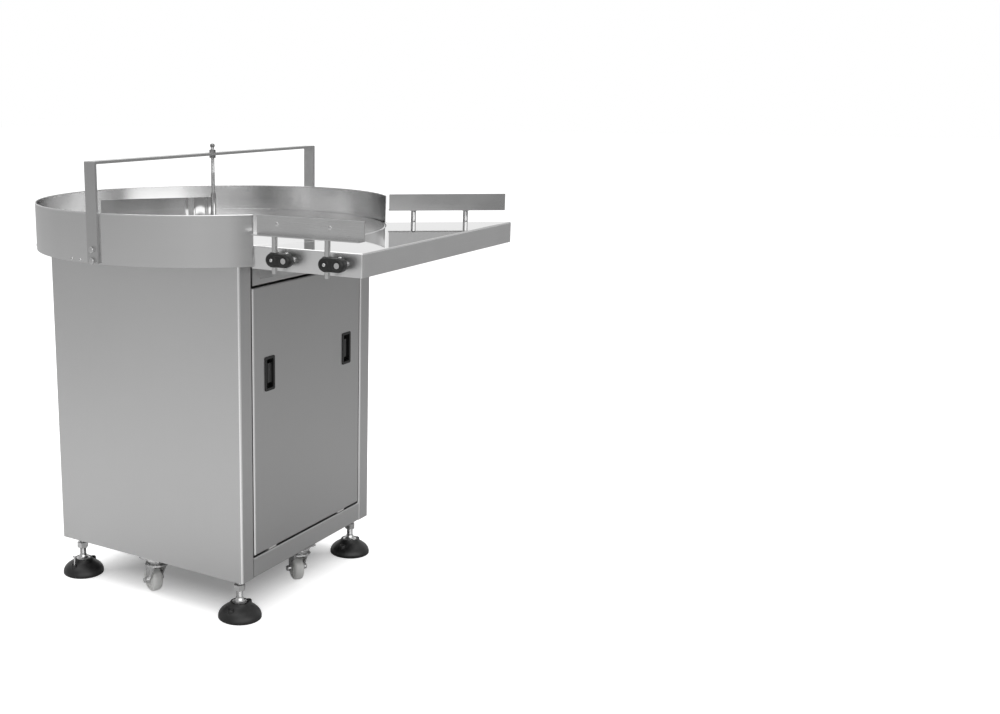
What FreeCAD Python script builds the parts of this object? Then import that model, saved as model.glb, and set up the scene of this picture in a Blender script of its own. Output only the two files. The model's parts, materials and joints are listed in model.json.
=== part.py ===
"""Rotary accumulation table: a sheet-metal cabinet on levelling feet and swivel casters, a driven
turntable inside a round guard band, and an outfeed shelf with two adjustable side guides.

Frame: the origin is on the floor, under the turntable axis. +Z is up, the door faces -Y and the
plain side wall faces -X. All lengths are in millimetres.
"""
import FreeCAD, Part
import math
import os
import re
import Sketcher

Vector = FreeCAD.Vector
Rotation = FreeCAD.Rotation

SIZES = [
    ("cab_width", 550, "cabinet, outside, along X"),
    ("cab_depth", 550, "cabinet, outside, along Y"),
    ("cab_bottom", 97, "underside of the cabinet above the floor"),
    ("deck_height", 860, "top face of the turntable and the shelf above the floor"),
    ("deck_lift", 28, "deck above the top edge of the cabinet walls"),
    ("sheet_gauge", 2, "sheet steel of the cabinet, band and shelf"),
    ("bend_radius", 3.5, "outside radius of a folded corner"),
    ("stile_width", 44.5, "front return of a side wall, beside the door"),
    ("rear_return", 28, "rear return of a side wall"),
    ("fold_depth", 18, "depth of the folds round the door and its opening"),
    ("rail_height", 47, "front upstand of the floor pan, below the door"),
    ("fascia_height", 69, "strip above the door opening"),
    ("door_gap", 4.5, "gap round the door, and beside the strip above it"),
    ("rest_length", 30, "pad below the door"),
    ("rest_place", 150, "middle of a door pad from the axis"),
    ("rest_clear", 0.3, "between a pad and the door"),
    ("vent_length", 90, "cooling slot in the back panel"),
    ("vent_height", 8, "cooling slot in the back panel"),
    ("vent_pitch", 22, "from one cooling slot to the next"),
    ("vent_count", 5, "cooling slots in the back panel"),
    ("vent_inner", 35, "inner end of a cooling slot from the middle"),
    ("vent_drop", 192, "lowest cooling slot below the top edge of the walls"),
    ("plate_gauge", 4, "top plate of the cabinet"),
    ("plate_bore", 60, "hole in the top plate for the shaft"),
    ("ring_radius", 420, "guard band, outside"),
    ("ring_drop", 45, "lower edge of the guard band below the deck"),
    ("ring_height", 109, "guard band"),
    ("seam_angle", 3, "seams of the band, off the bridge line, in degrees"),
    ("disc_gauge", 3, "turntable sheet"),
    ("disc_gap", 6, "between the turntable and the band"),
    ("disc_rim", 14, "turned-down rim of the turntable"),
    ("hub_radius", 62, "flange of the spider"),
    ("hub_height", 8, "spider arms and flange"),
    ("arm_width", 32, "spider arm"),
    ("arm_reach", 370, "tip of a spider arm from the axis"),
    ("arm_count", 6, "spider arms"),
    ("shaft_radius", 15, "drive shaft"),
    ("shaft_flange", 36, "radius of the flange on top of the shaft"),
    ("shaft_clear", 0.4, "round the shaft in the bearing and the gearbox"),
    ("bearing_side", 108, "square flange of the shaft bearing"),
    ("bearing_flange", 13, "thickness of the bearing flange"),
    ("bearing_round", 16, "corners of the bearing flange"),
    ("bearing_boss", 44, "radius of the bearing boss"),
    ("bearing_height", 34, "whole height of the shaft bearing"),
    ("gear_side", 112, "gearbox housing, across"),
    ("gear_height", 92, "gearbox housing, along the shaft"),
    ("gear_round", 14, "corners of the gearbox housing"),
    ("gear_hub", 42, "radius of the output hub on the gearbox"),
    ("worm_offset", 40, "motor axis beside the shaft axis"),
    ("worm_drop", 6, "motor axis below the middle of the gearbox"),
    ("motor_radius", 48, "motor barrel"),
    ("motor_length", 118, "motor barrel"),
    ("motor_flange", 58, "radius of the motor flange"),
    ("fin_height", 6, "cooling fin"),
    ("fin_gauge", 3, "cooling fin"),
    ("fin_count", 20, "cooling fins round the motor"),
    ("fan_length", 40, "fan cover"),
    ("fan_gauge", 2, "fan cover"),
    ("fan_pitch", 12, "from one slot of the fan cover to the next"),
    ("fan_slot", 6, "slot of the fan cover"),
    ("box_side", 62, "terminal box, along the motor"),
    ("box_height", 34, "terminal box, above the barrel"),
    ("box_round", 5, "corners of the terminal box"),
    ("drive_width", 130, "speed controller"),
    ("drive_depth", 84, "speed controller"),
    ("drive_height", 180, "speed controller"),
    ("drive_round", 4, "front edges of the speed controller"),
    ("drive_drop", 442, "underside of the speed controller below the top edge of the walls"),
    ("knob_place", 30, "speed knob and switch beside the middle of the controller"),
    ("knob_radius", 15, "speed knob"),
    ("knob_height", 15, "speed knob"),
    ("gland_radius", 12, "cable gland nut"),
    ("gland_height", 170, "cable gland above the floor"),
    ("gland_inset", 85, "cable gland from the side of the cabinet"),
    ("bracket_width", 40, "band bracket"),
    ("bracket_gauge", 4, "band bracket"),
    ("bracket_clear", 0.3, "between a bracket and the band"),
    ("bracket_start", 235, "inner end of a band bracket from the axis"),
    ("bracket_angle", 8, "side brackets, off the bridge line, in degrees"),
    ("bracket_step", 40, "from one rear bracket to the next, in degrees"),
    ("end_angle", 29, "brackets at the ends of the band, in front of the bridge line, in degrees"),
    ("shelf_reach", 577, "outer edge of the shelf from the axis"),
    ("shelf_right", 438, "outer corner of the shelf from the axis"),
    ("flare_angle", 34, "slant of the shelf's right edge, in degrees"),
    ("shelf_run", 370, "slanted edge, up to below the turntable"),
    ("shelf_apron", 49, "folded apron round the shelf"),
    ("shelf_gap", 2, "between the turntable edge and the shelf"),
    ("gusset_reach", 262, "shelf bracket in front of the cabinet"),
    ("gusset_height", 82, "shelf bracket at the cabinet"),
    ("gusset_tip", 24, "shelf bracket at its tip"),
    ("gusset_place", 196, "shelf bracket beside the axis"),
    ("bridge_rise", 172, "top of the bridge above the deck"),
    ("bar_width", 30, "bridge bar"),
    ("bar_gauge", 6, "bridge bar"),
    ("bar_round", 3, "outside radius of the bends of the bridge bar"),
    ("bar_inset", 2, "lower end of the bridge bar above the band's lower edge"),
    ("bolt_radius", 4, "bridge bolt"),
    ("bolt_head", 5, "head of a bridge bolt"),
    ("bolt_nut", 3.5, "thin nut of a bridge bolt, inside the band"),
    ("bolt_edge", 7, "lower bridge bolt above the band's lower edge"),
    ("bolt_pitch", 24, "from the lower to the upper bridge bolt"),
    ("nut_flats", 13, "hexagon of the bridge bolts and rod nuts, across flats"),
    ("nut_height", 6.5, "rod nut"),
    ("rod_radius", 4.5, "deflector rod"),
    ("rod_tip", 18, "tip of the deflector rod above the bridge"),
    ("rod_lift", 8, "lower end of the deflector rod above the deck"),
    ("blade_length", 268, "deflector blade from the axis"),
    ("blade_height", 64, "deflector blade"),
    ("blade_lift", 3, "between the blade and the turntable"),
    ("blade_angle", 137.6, "direction of the blade, in degrees from +X"),
    ("sleeve_radius", 6.5, "sleeve that carries the blade, outside"),
    ("sleeve_height", 75, "sleeve that carries the blade"),
    ("guide_rise", 66, "top edge of the side guides above the deck"),
    ("guide_height", 38, "side guide"),
    ("guide_flange", 22, "foot flange of a side guide"),
    ("guide_stand", 18, "from the shelf's edge to the face of a side guide"),
    ("near_start", 336, "inner end of the near guide from the axis"),
    ("near_length", 255, "near guide"),
    ("near_rod", 382, "inner rod of the near guide from the axis"),
    ("far_start", 8, "inner end of the far guide, along the slanted edge from the band"),
    ("far_length", 282, "far guide"),
    ("far_rod", 60, "inner rod of the far guide from its inner end"),
    ("rod_pitch", 127, "between the rods of a guide"),
    ("post_radius", 6, "vertical rod of a guide"),
    ("post_drop", 52, "lower end of a guide rod below the deck"),
    ("post_stand", 21, "from the shelf's apron to the axis of a guide rod"),
    ("clamp_height", 30, "cross clamp"),
    ("clamp_drop", 38, "underside of a cross clamp below the deck"),
    ("clamp_boss", 13.5, "radius of the upright boss of a cross clamp"),
    ("clamp_pitch", 29, "between the two bores of a cross clamp"),
    ("clamp_clear", 0.35, "round a rod in a cross clamp"),
    ("stud_radius", 6, "horizontal stud of a cross clamp"),
    ("foot_inset", 33, "foot axis inside the cabinet's faces"),
    ("foot_radius", 50, "foot base"),
    ("foot_rim", 8, "height of the straight rim of a foot base"),
    ("foot_shoulder", 36, "radius of the bend in the dome of a foot base"),
    ("dome_height", 27, "bend in the dome of a foot base above the floor"),
    ("dome_round", 11, "rounding of that bend"),
    ("foot_collar", 21, "radius of the collar of a foot base"),
    ("collar_height", 6, "collar of a foot base above its dome"),
    ("foot_height", 38, "foot base"),
    ("foot_ball", 15, "radius of the ball cup on a foot spindle"),
    ("ball_centre", 30, "centre of the ball above the floor"),
    ("seat_drop", 12, "seat of the ball cup below that centre"),
    ("lug_radius", 7.5, "anchor lug on a foot base"),
    ("lug_place", 34, "anchor lug beside the spindle"),
    ("lug_height", 30, "anchor lug above the floor"),
    ("lug_bore", 4.5, "radius of the anchor hole"),
    ("spindle_radius", 8, "foot spindle"),
    ("spindle_top", 175, "top of a foot spindle"),
    ("locknut_flats", 24, "lock nut on a foot spindle, across flats"),
    ("locknut_bottom", 65, "lock nut above the floor"),
    ("locknut_height", 16, "lock nut"),
    ("bush_radius", 14, "threaded bush over a foot"),
    ("bush_height", 24, "threaded bush over a foot"),
    ("caster_inset", 31, "swivel axis inside the cabinet's faces"),
    ("caster_plate", 60, "side of a caster's top plate"),
    ("plate_round", 6, "corners of a caster's top plate"),
    ("caster_gauge", 3, "sheet of a caster's plate and fork"),
    ("race_radius", 24, "swivel raceway of a caster"),
    ("race_height", 15, "swivel raceway of a caster"),
    ("race_lip", 6, "curled lower lip of the raceway"),
    ("crown_gap", 0.3, "between the raceway and the fork"),
    ("crown_radius", 27, "crown of a caster's fork"),
    ("wheel_radius", 30, "caster wheel"),
    ("wheel_width", 24, "caster wheel"),
    ("wheel_lift", 2, "caster wheel above the floor"),
    ("caster_trail", 20, "wheel axle behind the swivel axis"),
    ("fork_gap", 2, "between the wheel and a fork cheek"),
    ("axle_radius", 4, "caster axle"),
    ("axle_end", 9, "caster axle outside a fork cheek"),
    ("axle_nut", 5, "head and nut of a caster axle"),
    ("latch_width", 38, "bezel of a door latch"),
    ("latch_height", 78, "bezel of a door latch"),
    ("latch_drop", 203, "centre of the latches below the top of the door opening"),
    ("latch_place", 163.5, "centre of a latch beside the axis"),
    ("bezel_proud", 1.6, "bezel of a latch in front of the door"),
    ("bezel_round", 4, "corners of a latch bezel"),
    ("latch_depth", 15, "latch cup behind the door face"),
    ("latch_wall", 3, "wall of a latch cup"),
    ("thumb_width", 17, "thumb piece in a latch cup"),
    ("thumb_height", 44, "thumb piece in a latch cup"),
    ("latch_bolt", 16, "height of a latch bolt"),
]

# Heights above the floor that follow from the sizes, by the names that the sketches use.
LEVELS = {
    "cab_top": "deck_height - deck_lift",
    "plate_top": "cab_top + plate_gauge",
    "open_bottom": "cab_bottom + rail_height",
    "open_top": "cab_top - fascia_height",
    "latch_middle": "open_top - latch_drop",
    "vent_bottom": "cab_top - vent_drop",
    "drive_bottom": "cab_top - drive_drop",
    "gear_top": "cab_top - bearing_height",
    "gear_bottom": "gear_top - gear_height",
    "motor_middle": "gear_top - gear_height / 2 - worm_drop",
    "disc_bottom": "deck_height - disc_gauge",
    "ring_bottom": "deck_height - ring_drop",
    "ring_top": "ring_bottom + ring_height",
    "bridge_top": "deck_height + bridge_rise",
    "bridge_bottom": "bridge_top - bar_gauge",
    "bar_foot": "ring_bottom + bar_inset",
    "bolt_low": "ring_bottom + bolt_edge",
    "rod_top": "bridge_top + rod_tip",
    "rod_foot": "deck_height + rod_lift",
    "blade_low": "deck_height + blade_lift",
    "blade_top": "blade_low + blade_height",
    "sleeve_top": "blade_low + sleeve_height",
    "guide_top": "deck_height + guide_rise",
    "guide_low": "guide_top - guide_height",
    "post_foot": "deck_height - post_drop",
    "clamp_bottom": "deck_height - clamp_drop",
    "clamp_middle": "clamp_bottom + clamp_height / 2",
    "race_bottom": "cab_bottom - caster_gauge - race_height",
    "crown_top": "race_bottom - crown_gap",
    "crown_bottom": "crown_top - caster_gauge",
    "axle_height": "wheel_lift + wheel_radius",
    "seat_height": "ball_centre - seat_drop",
}

doc = FreeCAD.newDocument("RotaryTable")
sheet = doc.addObject("Spreadsheet::Sheet", "Sizes")
for row, (alias, number, meaning) in enumerate(SIZES, start=1):
    sheet.set("A%d" % row, meaning)
    sheet.set("B%d" % row, str(number))
    sheet.setAlias("B%d" % row, alias)
doc.recompute()

PARTS = {}


def rule(text):
    """An expression in which every level is spelled out and every size is read from the sheet."""
    def read(found):
        name = found.group(0)
        return "(%s)" % rule(LEVELS[name]) if name in LEVELS else "Sizes." + name
    return re.sub(r"[a-z]+(_[a-z]+)+", read, text)


def value(text):
    """The number that an expression gives with the sheet as it is."""
    return float(sheet.evalExpression(rule(text)))


def bind(item, **sizes):
    """Bind properties to expressions; two underscores stand for a dot."""
    for name, text in sizes.items():
        item.setExpression(name.replace("__", "."), rule(text))
    return item


def put(item, x="0", y="0", z="0", turn=None, axis=(0, 0, 1)):
    """Place an object by expressions, turned by an expression about an axis."""
    if turn is not None:
        item.Placement = FreeCAD.Placement(Vector(), Rotation(Vector(*axis), value(turn)))
        bind(item, Placement__Rotation__Angle=turn)
    return bind(item, Placement__Base__x=x, Placement__Base__y=y, Placement__Base__z=z)


def keep(label, item):
    """Name a finished sub-part, which is written to its own file."""
    item.Label = label
    PARTS[label] = item
    return item


def box(name, size, corner):
    """A block from its size and its lowest corner."""
    block = doc.addObject("Part::Box", name)
    bind(block, Length=size[0], Width=size[1], Height=size[2])
    return put(block, *corner)


def rod(name, radius, length, base, axis="Z"):
    """A cylinder that starts at base and runs along +X, +Y or +Z."""
    cylinder = doc.addObject("Part::Cylinder", name)
    bind(cylinder, Radius=radius, Height=length)
    turns = {"X": ((0, 1, 0), 90), "Y": ((1, 0, 0), -90), "Z": ((0, 0, 1), 0)}
    direction, angle = turns[axis]
    cylinder.Placement = FreeCAD.Placement(Vector(), Rotation(Vector(*direction), angle))
    return put(cylinder, *base)


def hexagon(name, flats, length, base, axis="Z"):
    """A hexagonal block from its size across flats."""
    prism = doc.addObject("Part::Prism", name)
    prism.Polygon = 6
    bind(prism, Circumradius="(%s) / sqrt(3)" % flats, Height=length)
    turns = {"X": ((0, 1, 0), 90), "Y": ((1, 0, 0), -90), "Z": ((0, 0, 1), 0)}
    direction, angle = turns[axis]
    prism.Placement = FreeCAD.Placement(Vector(), Rotation(Vector(*direction), angle))
    return put(prism, *base)


def fuse(name, *solids):
    union = doc.addObject("Part::MultiFuse", name)
    union.Shapes = list(solids)
    union.Refine = True
    return union


def cut(name, base, *tools):
    difference = doc.addObject("Part::Cut", name)
    difference.Base = base
    difference.Tool = tools[0] if len(tools) == 1 else fuse(name + "_tools", *tools)
    return difference


def group(name, *solids):
    """Separate solids that share one node."""
    bundle = doc.addObject("Part::Compound", name)
    bundle.Links = list(solids)
    return bundle


def make_body(name):
    return doc.addObject("PartDesign::Body", name)


def plane_of(body, role):
    return [item for item in body.Origin.OriginFeatures if item.Role == role][0]


def new_sketch(body, plane, lift="0"):
    """A sketch on one of the body's own planes, lifted along that plane's normal."""
    sketch = body.newObject("Sketcher::SketchObject", body.Name + "_sketch")
    sketch.AttachmentSupport = [(plane_of(body, plane), "")]
    sketch.MapMode = "FlatFace"
    bind(sketch, AttachmentOffset__Base__z=lift)
    return sketch


def pin_point(sketch, geometry, position, corner):
    """Hold one point of a sketch at a pair of expressions."""
    for kind, text in zip(("DistanceX", "DistanceY"), corner):
        index = sketch.addConstraint(Sketcher.Constraint(kind, -1, 1, geometry, position, value(text)))
        sketch.setExpression("Constraints[%d]" % index, rule(text))


def outline(sketch, corners):
    """A closed outline of straight lines through corners."""
    points = [Vector(value(x), value(y), 0) for x, y in corners]
    first = sketch.GeometryCount
    count = len(points)
    for index in range(count):
        sketch.addGeometry(Part.LineSegment(points[index], points[(index + 1) % count]))
    for index in range(count):
        follower = first + (index + 1) % count
        sketch.addConstraint(Sketcher.Constraint("Coincident", first + index, 2, follower, 1))
    for index in range(count):
        pin_point(sketch, first + index, 1, corners[index])
    return sketch


def circle(sketch, centre, radius):
    x, y = centre
    index = sketch.addGeometry(Part.Circle(Vector(value(x), value(y), 0), Vector(0, 0, 1), value(radius)))
    pin_point(sketch, index, 3, centre)
    size = sketch.addConstraint(Sketcher.Constraint("Radius", index, value(radius)))
    sketch.setExpression("Constraints[%d]" % size, rule(radius))
    return sketch


def pad(body, sketch, length, middle=False, down=False):
    feature = body.newObject("PartDesign::Pad", body.Name + "_pad")
    feature.Profile = sketch
    feature.Midplane = middle
    feature.Reversed = down
    bind(feature, Length=length)
    sketch.Visibility = False
    doc.recompute()
    return feature


def pocket(body, sketch, length=None, down=False, middle=False):
    """Cut a sketch's shape out, through everything if no depth is given."""
    feature = body.newObject("PartDesign::Pocket", body.Name + "_pocket")
    feature.Profile = sketch
    feature.Reversed = down
    feature.Midplane = middle
    if length is None:
        feature.Type = "ThroughAll"
    else:
        bind(feature, Length=length)
    before = feature.BaseFeature.Shape.Volume
    doc.recompute()
    if feature.Shape.Volume > before - 1e-6:
        raise RuntimeError(feature.Name + " cuts nothing")
    return feature


def revolve(body, sketch, angle="360"):
    feature = body.newObject("PartDesign::Revolution", body.Name + "_revolution")
    feature.Profile = sketch
    feature.ReferenceAxis = (sketch, ["V_Axis"])
    bind(feature, Angle=angle)
    doc.recompute()
    return feature


def fillet(body, feature, radius, wanted):
    """Round the edges of a feature whose middle point passes a test."""
    names = []
    for number, edge in enumerate(feature.Shape.Edges, start=1):
        middle = edge.valueAt((edge.FirstParameter + edge.LastParameter) / 2)
        if wanted(edge, middle):
            names.append("Edge%d" % number)
    if not names:
        raise RuntimeError(feature.Name + " has no edge to round")
    rounded = body.newObject("PartDesign::Fillet", body.Name + "_fillet")
    rounded.Base = (feature, names)
    bind(rounded, Radius=radius)
    doc.recompute()
    return rounded


def polar(body, feature, count):
    """Repeat a feature round the body's Z axis."""
    pattern = body.newObject("PartDesign::PolarPattern", body.Name + "_pattern")
    pattern.Originals = [feature]
    axis = [item for item in body.Origin.OriginFeatures if item.Role == "Z_Axis"][0]
    pattern.Axis = (axis, [""])
    pattern.Angle = 360
    bind(pattern, Occurrences=count)
    body.Tip = pattern
    doc.recompute()
    return pattern


def is_upright(edge):
    """True for a straight edge along Z."""
    if not isinstance(edge.Curve, Part.Line):
        return False
    return abs(edge.Curve.Direction.z) > 0.99


HALF_X = "cab_width / 2"
HALF_Y = "cab_depth / 2"
FRONT = "-cab_depth / 2"
INSIDE_BACK = "(cab_depth / 2 - 2 * sheet_gauge)"


def side_wall(name, side):
    """A folded wall: the side, the stile beside the door with its inner lip, and the rear return."""
    body = make_body(name)
    corners = [
        (HALF_X, "-cab_depth / 2"),
        (HALF_X + " - stile_width", "-cab_depth / 2"),
        (HALF_X + " - stile_width", "-cab_depth / 2 + fold_depth"),
        (HALF_X + " - stile_width + sheet_gauge", "-cab_depth / 2 + fold_depth"),
        (HALF_X + " - stile_width + sheet_gauge", "-cab_depth / 2 + sheet_gauge"),
        (HALF_X + " - sheet_gauge", "-cab_depth / 2 + sheet_gauge"),
        (HALF_X + " - sheet_gauge", HALF_Y + " - sheet_gauge"),
        (HALF_X + " - rear_return", HALF_Y + " - sheet_gauge"),
        (HALF_X + " - rear_return", HALF_Y),
        (HALF_X, HALF_Y),
    ]
    sketch = new_sketch(body, "XY_Plane", "cab_bottom")
    outline(sketch, [("%d * (%s)" % (side, x), y) for x, y in corners])
    wall = pad(body, sketch, "cab_top - cab_bottom")
    face = value(HALF_X)
    front = value("-cab_depth / 2")
    fillet(body, wall, "bend_radius", lambda edge, at: is_upright(edge) and (
        abs(abs(at.x) - face) < 1e-6 or abs(at.y - front) < 1e-6))
    return keep(name, body)


def back_panel():
    """A flat cover behind the rear returns, with two columns of cooling slots and a gland hole."""
    body = make_body("back_panel")
    sketch = new_sketch(body, "XZ_Plane", "-" + INSIDE_BACK)
    edge = HALF_X + " - sheet_gauge"
    low = "cab_bottom + sheet_gauge"
    corners = [("-(%s)" % edge, low), (edge, low), (edge, "cab_top"), ("-(%s)" % edge, "cab_top")]
    outline(sketch, corners)
    pad(body, sketch, "sheet_gauge", down=True)
    slots = new_sketch(body, "XZ_Plane", "-" + INSIDE_BACK)
    for side in (-1, 1):
        inner = "%d * vent_inner" % side
        outer = "%d * (vent_inner + vent_length)" % side
        ends = (outer, inner) if side < 0 else (inner, outer)
        corners = [(ends[0], "vent_bottom"), (ends[1], "vent_bottom"),
                   (ends[1], "vent_bottom + vent_height"), (ends[0], "vent_bottom + vent_height")]
        outline(slots, corners)
    first = pocket(body, slots, "2 * sheet_gauge", down=True, middle=True)
    pattern = body.newObject("PartDesign::LinearPattern", "vent_pattern")
    pattern.Originals = [first]
    pattern.Direction = (slots, ["V_Axis"])
    pattern.Mode = "Spacing"
    bind(pattern, Offset="vent_pitch", Occurrences="vent_count")
    body.Tip = pattern
    doc.recompute()
    hole = new_sketch(body, "XZ_Plane", "-" + INSIDE_BACK)
    circle(hole, (HALF_X + " - gland_inset", "gland_height"), "gland_radius * 0.7")
    pocket(body, hole, "2 * sheet_gauge", down=True, middle=True)
    return keep("back_panel", body)


def foot_places():
    """Signs of the four corners, front left first."""
    return [(-1, -1), (1, -1), (1, 1), (-1, 1)]


def foot_axis(side_x, side_y):
    x = "%d * (cab_width / 2 - foot_inset)" % side_x
    y = "%d * (cab_depth / 2 - foot_inset)" % side_y
    return x, y


def folded_strip(name, corners, width):
    """A folded strip along X from its outline seen from the side, with its front edges rounded."""
    body = make_body(name)
    sketch = new_sketch(body, "YZ_Plane")
    outline(sketch, corners)
    strip = pad(body, sketch, width, middle=True)
    front = value(FRONT)
    bends = [value(height) for depth, height in corners if depth == FRONT and height != "cab_top"]
    fillet(body, strip, "bend_radius",
           lambda edge, at: abs(at.y - front) < 1e-6 and min(abs(at.z - bend) for bend in bends) < 1e-6)
    return body


def floor_pan():
    """The cabinet floor, with the front upstand that makes the rail below the door."""
    width = "cab_width - 2 * sheet_gauge"
    main = box("pan_main", (width, "cab_depth - fold_depth - sheet_gauge", "sheet_gauge"),
               ("-cab_width / 2 + sheet_gauge", "-cab_depth / 2 + fold_depth", "cab_bottom"))
    behind = FRONT + " + sheet_gauge"
    lip = FRONT + " + fold_depth"
    rail = folded_strip("pan_rail", [
        (lip, "cab_bottom"), (FRONT, "cab_bottom"), (FRONT, "open_bottom"), (lip, "open_bottom"),
        (lip, "open_bottom - sheet_gauge"), (behind, "open_bottom - sheet_gauge"),
        (behind, "cab_bottom + sheet_gauge"), (lip, "cab_bottom + sheet_gauge")],
        "cab_width - 2 * stile_width")
    holes = []
    for number, (side_x, side_y) in enumerate(foot_places(), start=1):
        x, y = foot_axis(side_x, side_y)
        holes.append(rod("pan_hole_%d" % number, "spindle_radius + 0.8", "3 * sheet_gauge",
                         (x, y, "cab_bottom - sheet_gauge")))
    return keep("floor_pan", cut("floor_pan", fuse("pan_sheet", main, rail), *holes))


def door_rests():
    """Two thin pads on the rail below the door, which carry the door's weight."""
    pads = []
    for side in (-1, 1):
        name = "door_rest_%s" % ("left" if side < 0 else "right")
        start = "%d * rest_place - rest_length / 2" % side
        pads.append(box(name, ("rest_length", "fold_depth / 2", "door_gap - rest_clear"),
                        (start, "-cab_depth / 2 + fold_depth / 4", "open_bottom")))
    return keep("door_rests", group("door_rests", *pads))


def fascia_strip():
    """The fixed strip above the door, which hangs from the top plate and is folded back below."""
    behind = FRONT + " + sheet_gauge"
    lip = FRONT + " + fold_depth"
    strip = folded_strip("fascia_strip", [
        (FRONT, "cab_top"), (FRONT, "open_top"), (lip, "open_top"), (lip, "open_top + sheet_gauge"),
        (behind, "open_top + sheet_gauge"), (behind, "cab_top")],
        "cab_width - 2 * stile_width - 2 * door_gap")
    return keep("fascia_strip", strip)


def top_plate():
    """The plate that closes the cabinet and carries the bearing and the band brackets."""
    body = make_body("top_plate")
    sketch = new_sketch(body, "XY_Plane", "cab_top")
    corners = [("-cab_width / 2", "-cab_depth / 2"), (HALF_X, "-cab_depth / 2"),
               (HALF_X, HALF_Y), ("-cab_width / 2", HALF_Y)]
    outline(sketch, corners)
    circle(sketch, ("0", "0"), "plate_bore / 2")
    plate = pad(body, sketch, "plate_gauge")
    corner = value(HALF_X)
    fillet(body, plate, "bend_radius", lambda edge, at: is_upright(edge) and abs(abs(at.x) - corner) < 1e-6)
    return keep("top_plate", body)


def foot_bushes():
    """Threaded bushes welded on the floor pan, one over each foot."""
    bushes = []
    low = "cab_bottom + sheet_gauge"
    for number, (side_x, side_y) in enumerate(foot_places(), start=1):
        x, y = foot_axis(side_x, side_y)
        outside = rod("bush_outside_%d" % number, "bush_radius", "bush_height", (x, y, low))
        bore = rod("bush_bore_%d" % number, "spindle_radius + 0.4", "bush_height + 2", (x, y, low + " - 1"))
        bushes.append(cut("bush_%d" % number, outside, bore))
    return keep("foot_bushes", group("foot_bushes", *bushes))


def foot(number, side_x, side_y):
    """A levelling foot: a moulded base with two anchor lugs, and a ball-ended spindle with its nut."""
    x, y = foot_axis(side_x, side_y)
    body = make_body("foot_base_%d" % number)
    sketch = new_sketch(body, "XZ_Plane")
    inner = "foot_ball + 0.5"
    outline(sketch, [("0", "0"), ("foot_radius", "0"), ("foot_radius", "foot_rim"),
                     ("foot_shoulder", "dome_height"), ("foot_collar", "foot_height - collar_height"),
                     ("foot_collar", "foot_height"), (inner, "foot_height"),
                     (inner, "seat_height"), ("0", "seat_height")])
    shell = revolve(body, sketch)
    bend = value("dome_height")
    fillet(body, shell, "dome_round", lambda edge, at: abs(at.z - bend) < 1e-6)
    lugs = new_sketch(body, "XY_Plane", "foot_rim / 2")
    circle(lugs, ("lug_place", "0"), "lug_radius")
    circle(lugs, ("-lug_place", "0"), "lug_radius")
    pad(body, lugs, "lug_height - foot_rim / 2")
    holes = new_sketch(body, "XY_Plane")
    circle(holes, ("lug_place", "0"), "lug_bore")
    circle(holes, ("-lug_place", "0"), "lug_bore")
    pocket(body, holes, "lug_height + 1", down=True)
    put(body, x, y)
    keep("foot_base_%d" % number, body)

    spindle = make_body("foot_spindle_%d" % number)
    profile = new_sketch(spindle, "XZ_Plane")
    outline(profile, [("0", "seat_height"), ("9", "seat_height"), ("foot_ball", "ball_centre - 4"),
                      ("foot_ball", "ball_centre + 6"), ("11", "ball_centre + 13"),
                      ("spindle_radius", "ball_centre + 17"), ("spindle_radius", "spindle_top - 1.5"),
                      ("spindle_radius - 1.5", "spindle_top"), ("0", "spindle_top")])
    revolve(spindle, profile)
    put(spindle, x, y)
    name = "locknut_%d" % number
    block = hexagon(name + "_block", "locknut_flats", "locknut_height", (x, y, "locknut_bottom"))
    bore = rod(name + "_bore", "spindle_radius", "locknut_height + 2", (x, y, "locknut_bottom - 1"))
    nut = cut(name, block, bore)
    keep("foot_spindle_%d" % number, group("foot_spindle_set_%d" % number, spindle, nut))


CASTERS = {"left": (-1, 0, "68"), "front": (0, -1, "52"), "right": (1, 0, "247"), "rear": (0, 1, "232")}


def caster_axis(side_x, side_y):
    x = "%d * (cab_width / 2 - caster_inset)" % side_x
    y = "%d * (cab_depth / 2 - caster_inset)" % side_y
    return x, y


CHEEK = "(wheel_width / 2 + fork_gap)"


def caster_plates():
    """The four fixed plates: a square plate with the upper half of the swivel raceway below it."""
    plates = []
    for name, (side_x, side_y, _) in CASTERS.items():
        x, y = caster_axis(side_x, side_y)
        body = make_body("caster_plate_" + name)
        sketch = new_sketch(body, "XY_Plane", "cab_bottom - caster_gauge")
        half = "caster_plate / 2"
        outline(sketch, [("-" + half, "-" + half), (half, "-" + half), (half, half), ("-" + half, half)])
        plate = pad(body, sketch, "caster_gauge")
        fillet(body, plate, "plate_round", lambda edge, at: is_upright(edge))
        race = new_sketch(body, "XZ_Plane")
        outline(race, [("0", "cab_bottom - caster_gauge"), ("race_radius", "cab_bottom - caster_gauge"),
                       ("race_radius", "race_bottom + race_lip"), ("race_radius - 3", "race_bottom"),
                       ("0", "race_bottom")])
        revolve(body, race)
        plates.append(put(body, x, y))
    return keep("caster_plates", group("caster_plates", *plates))


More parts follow.
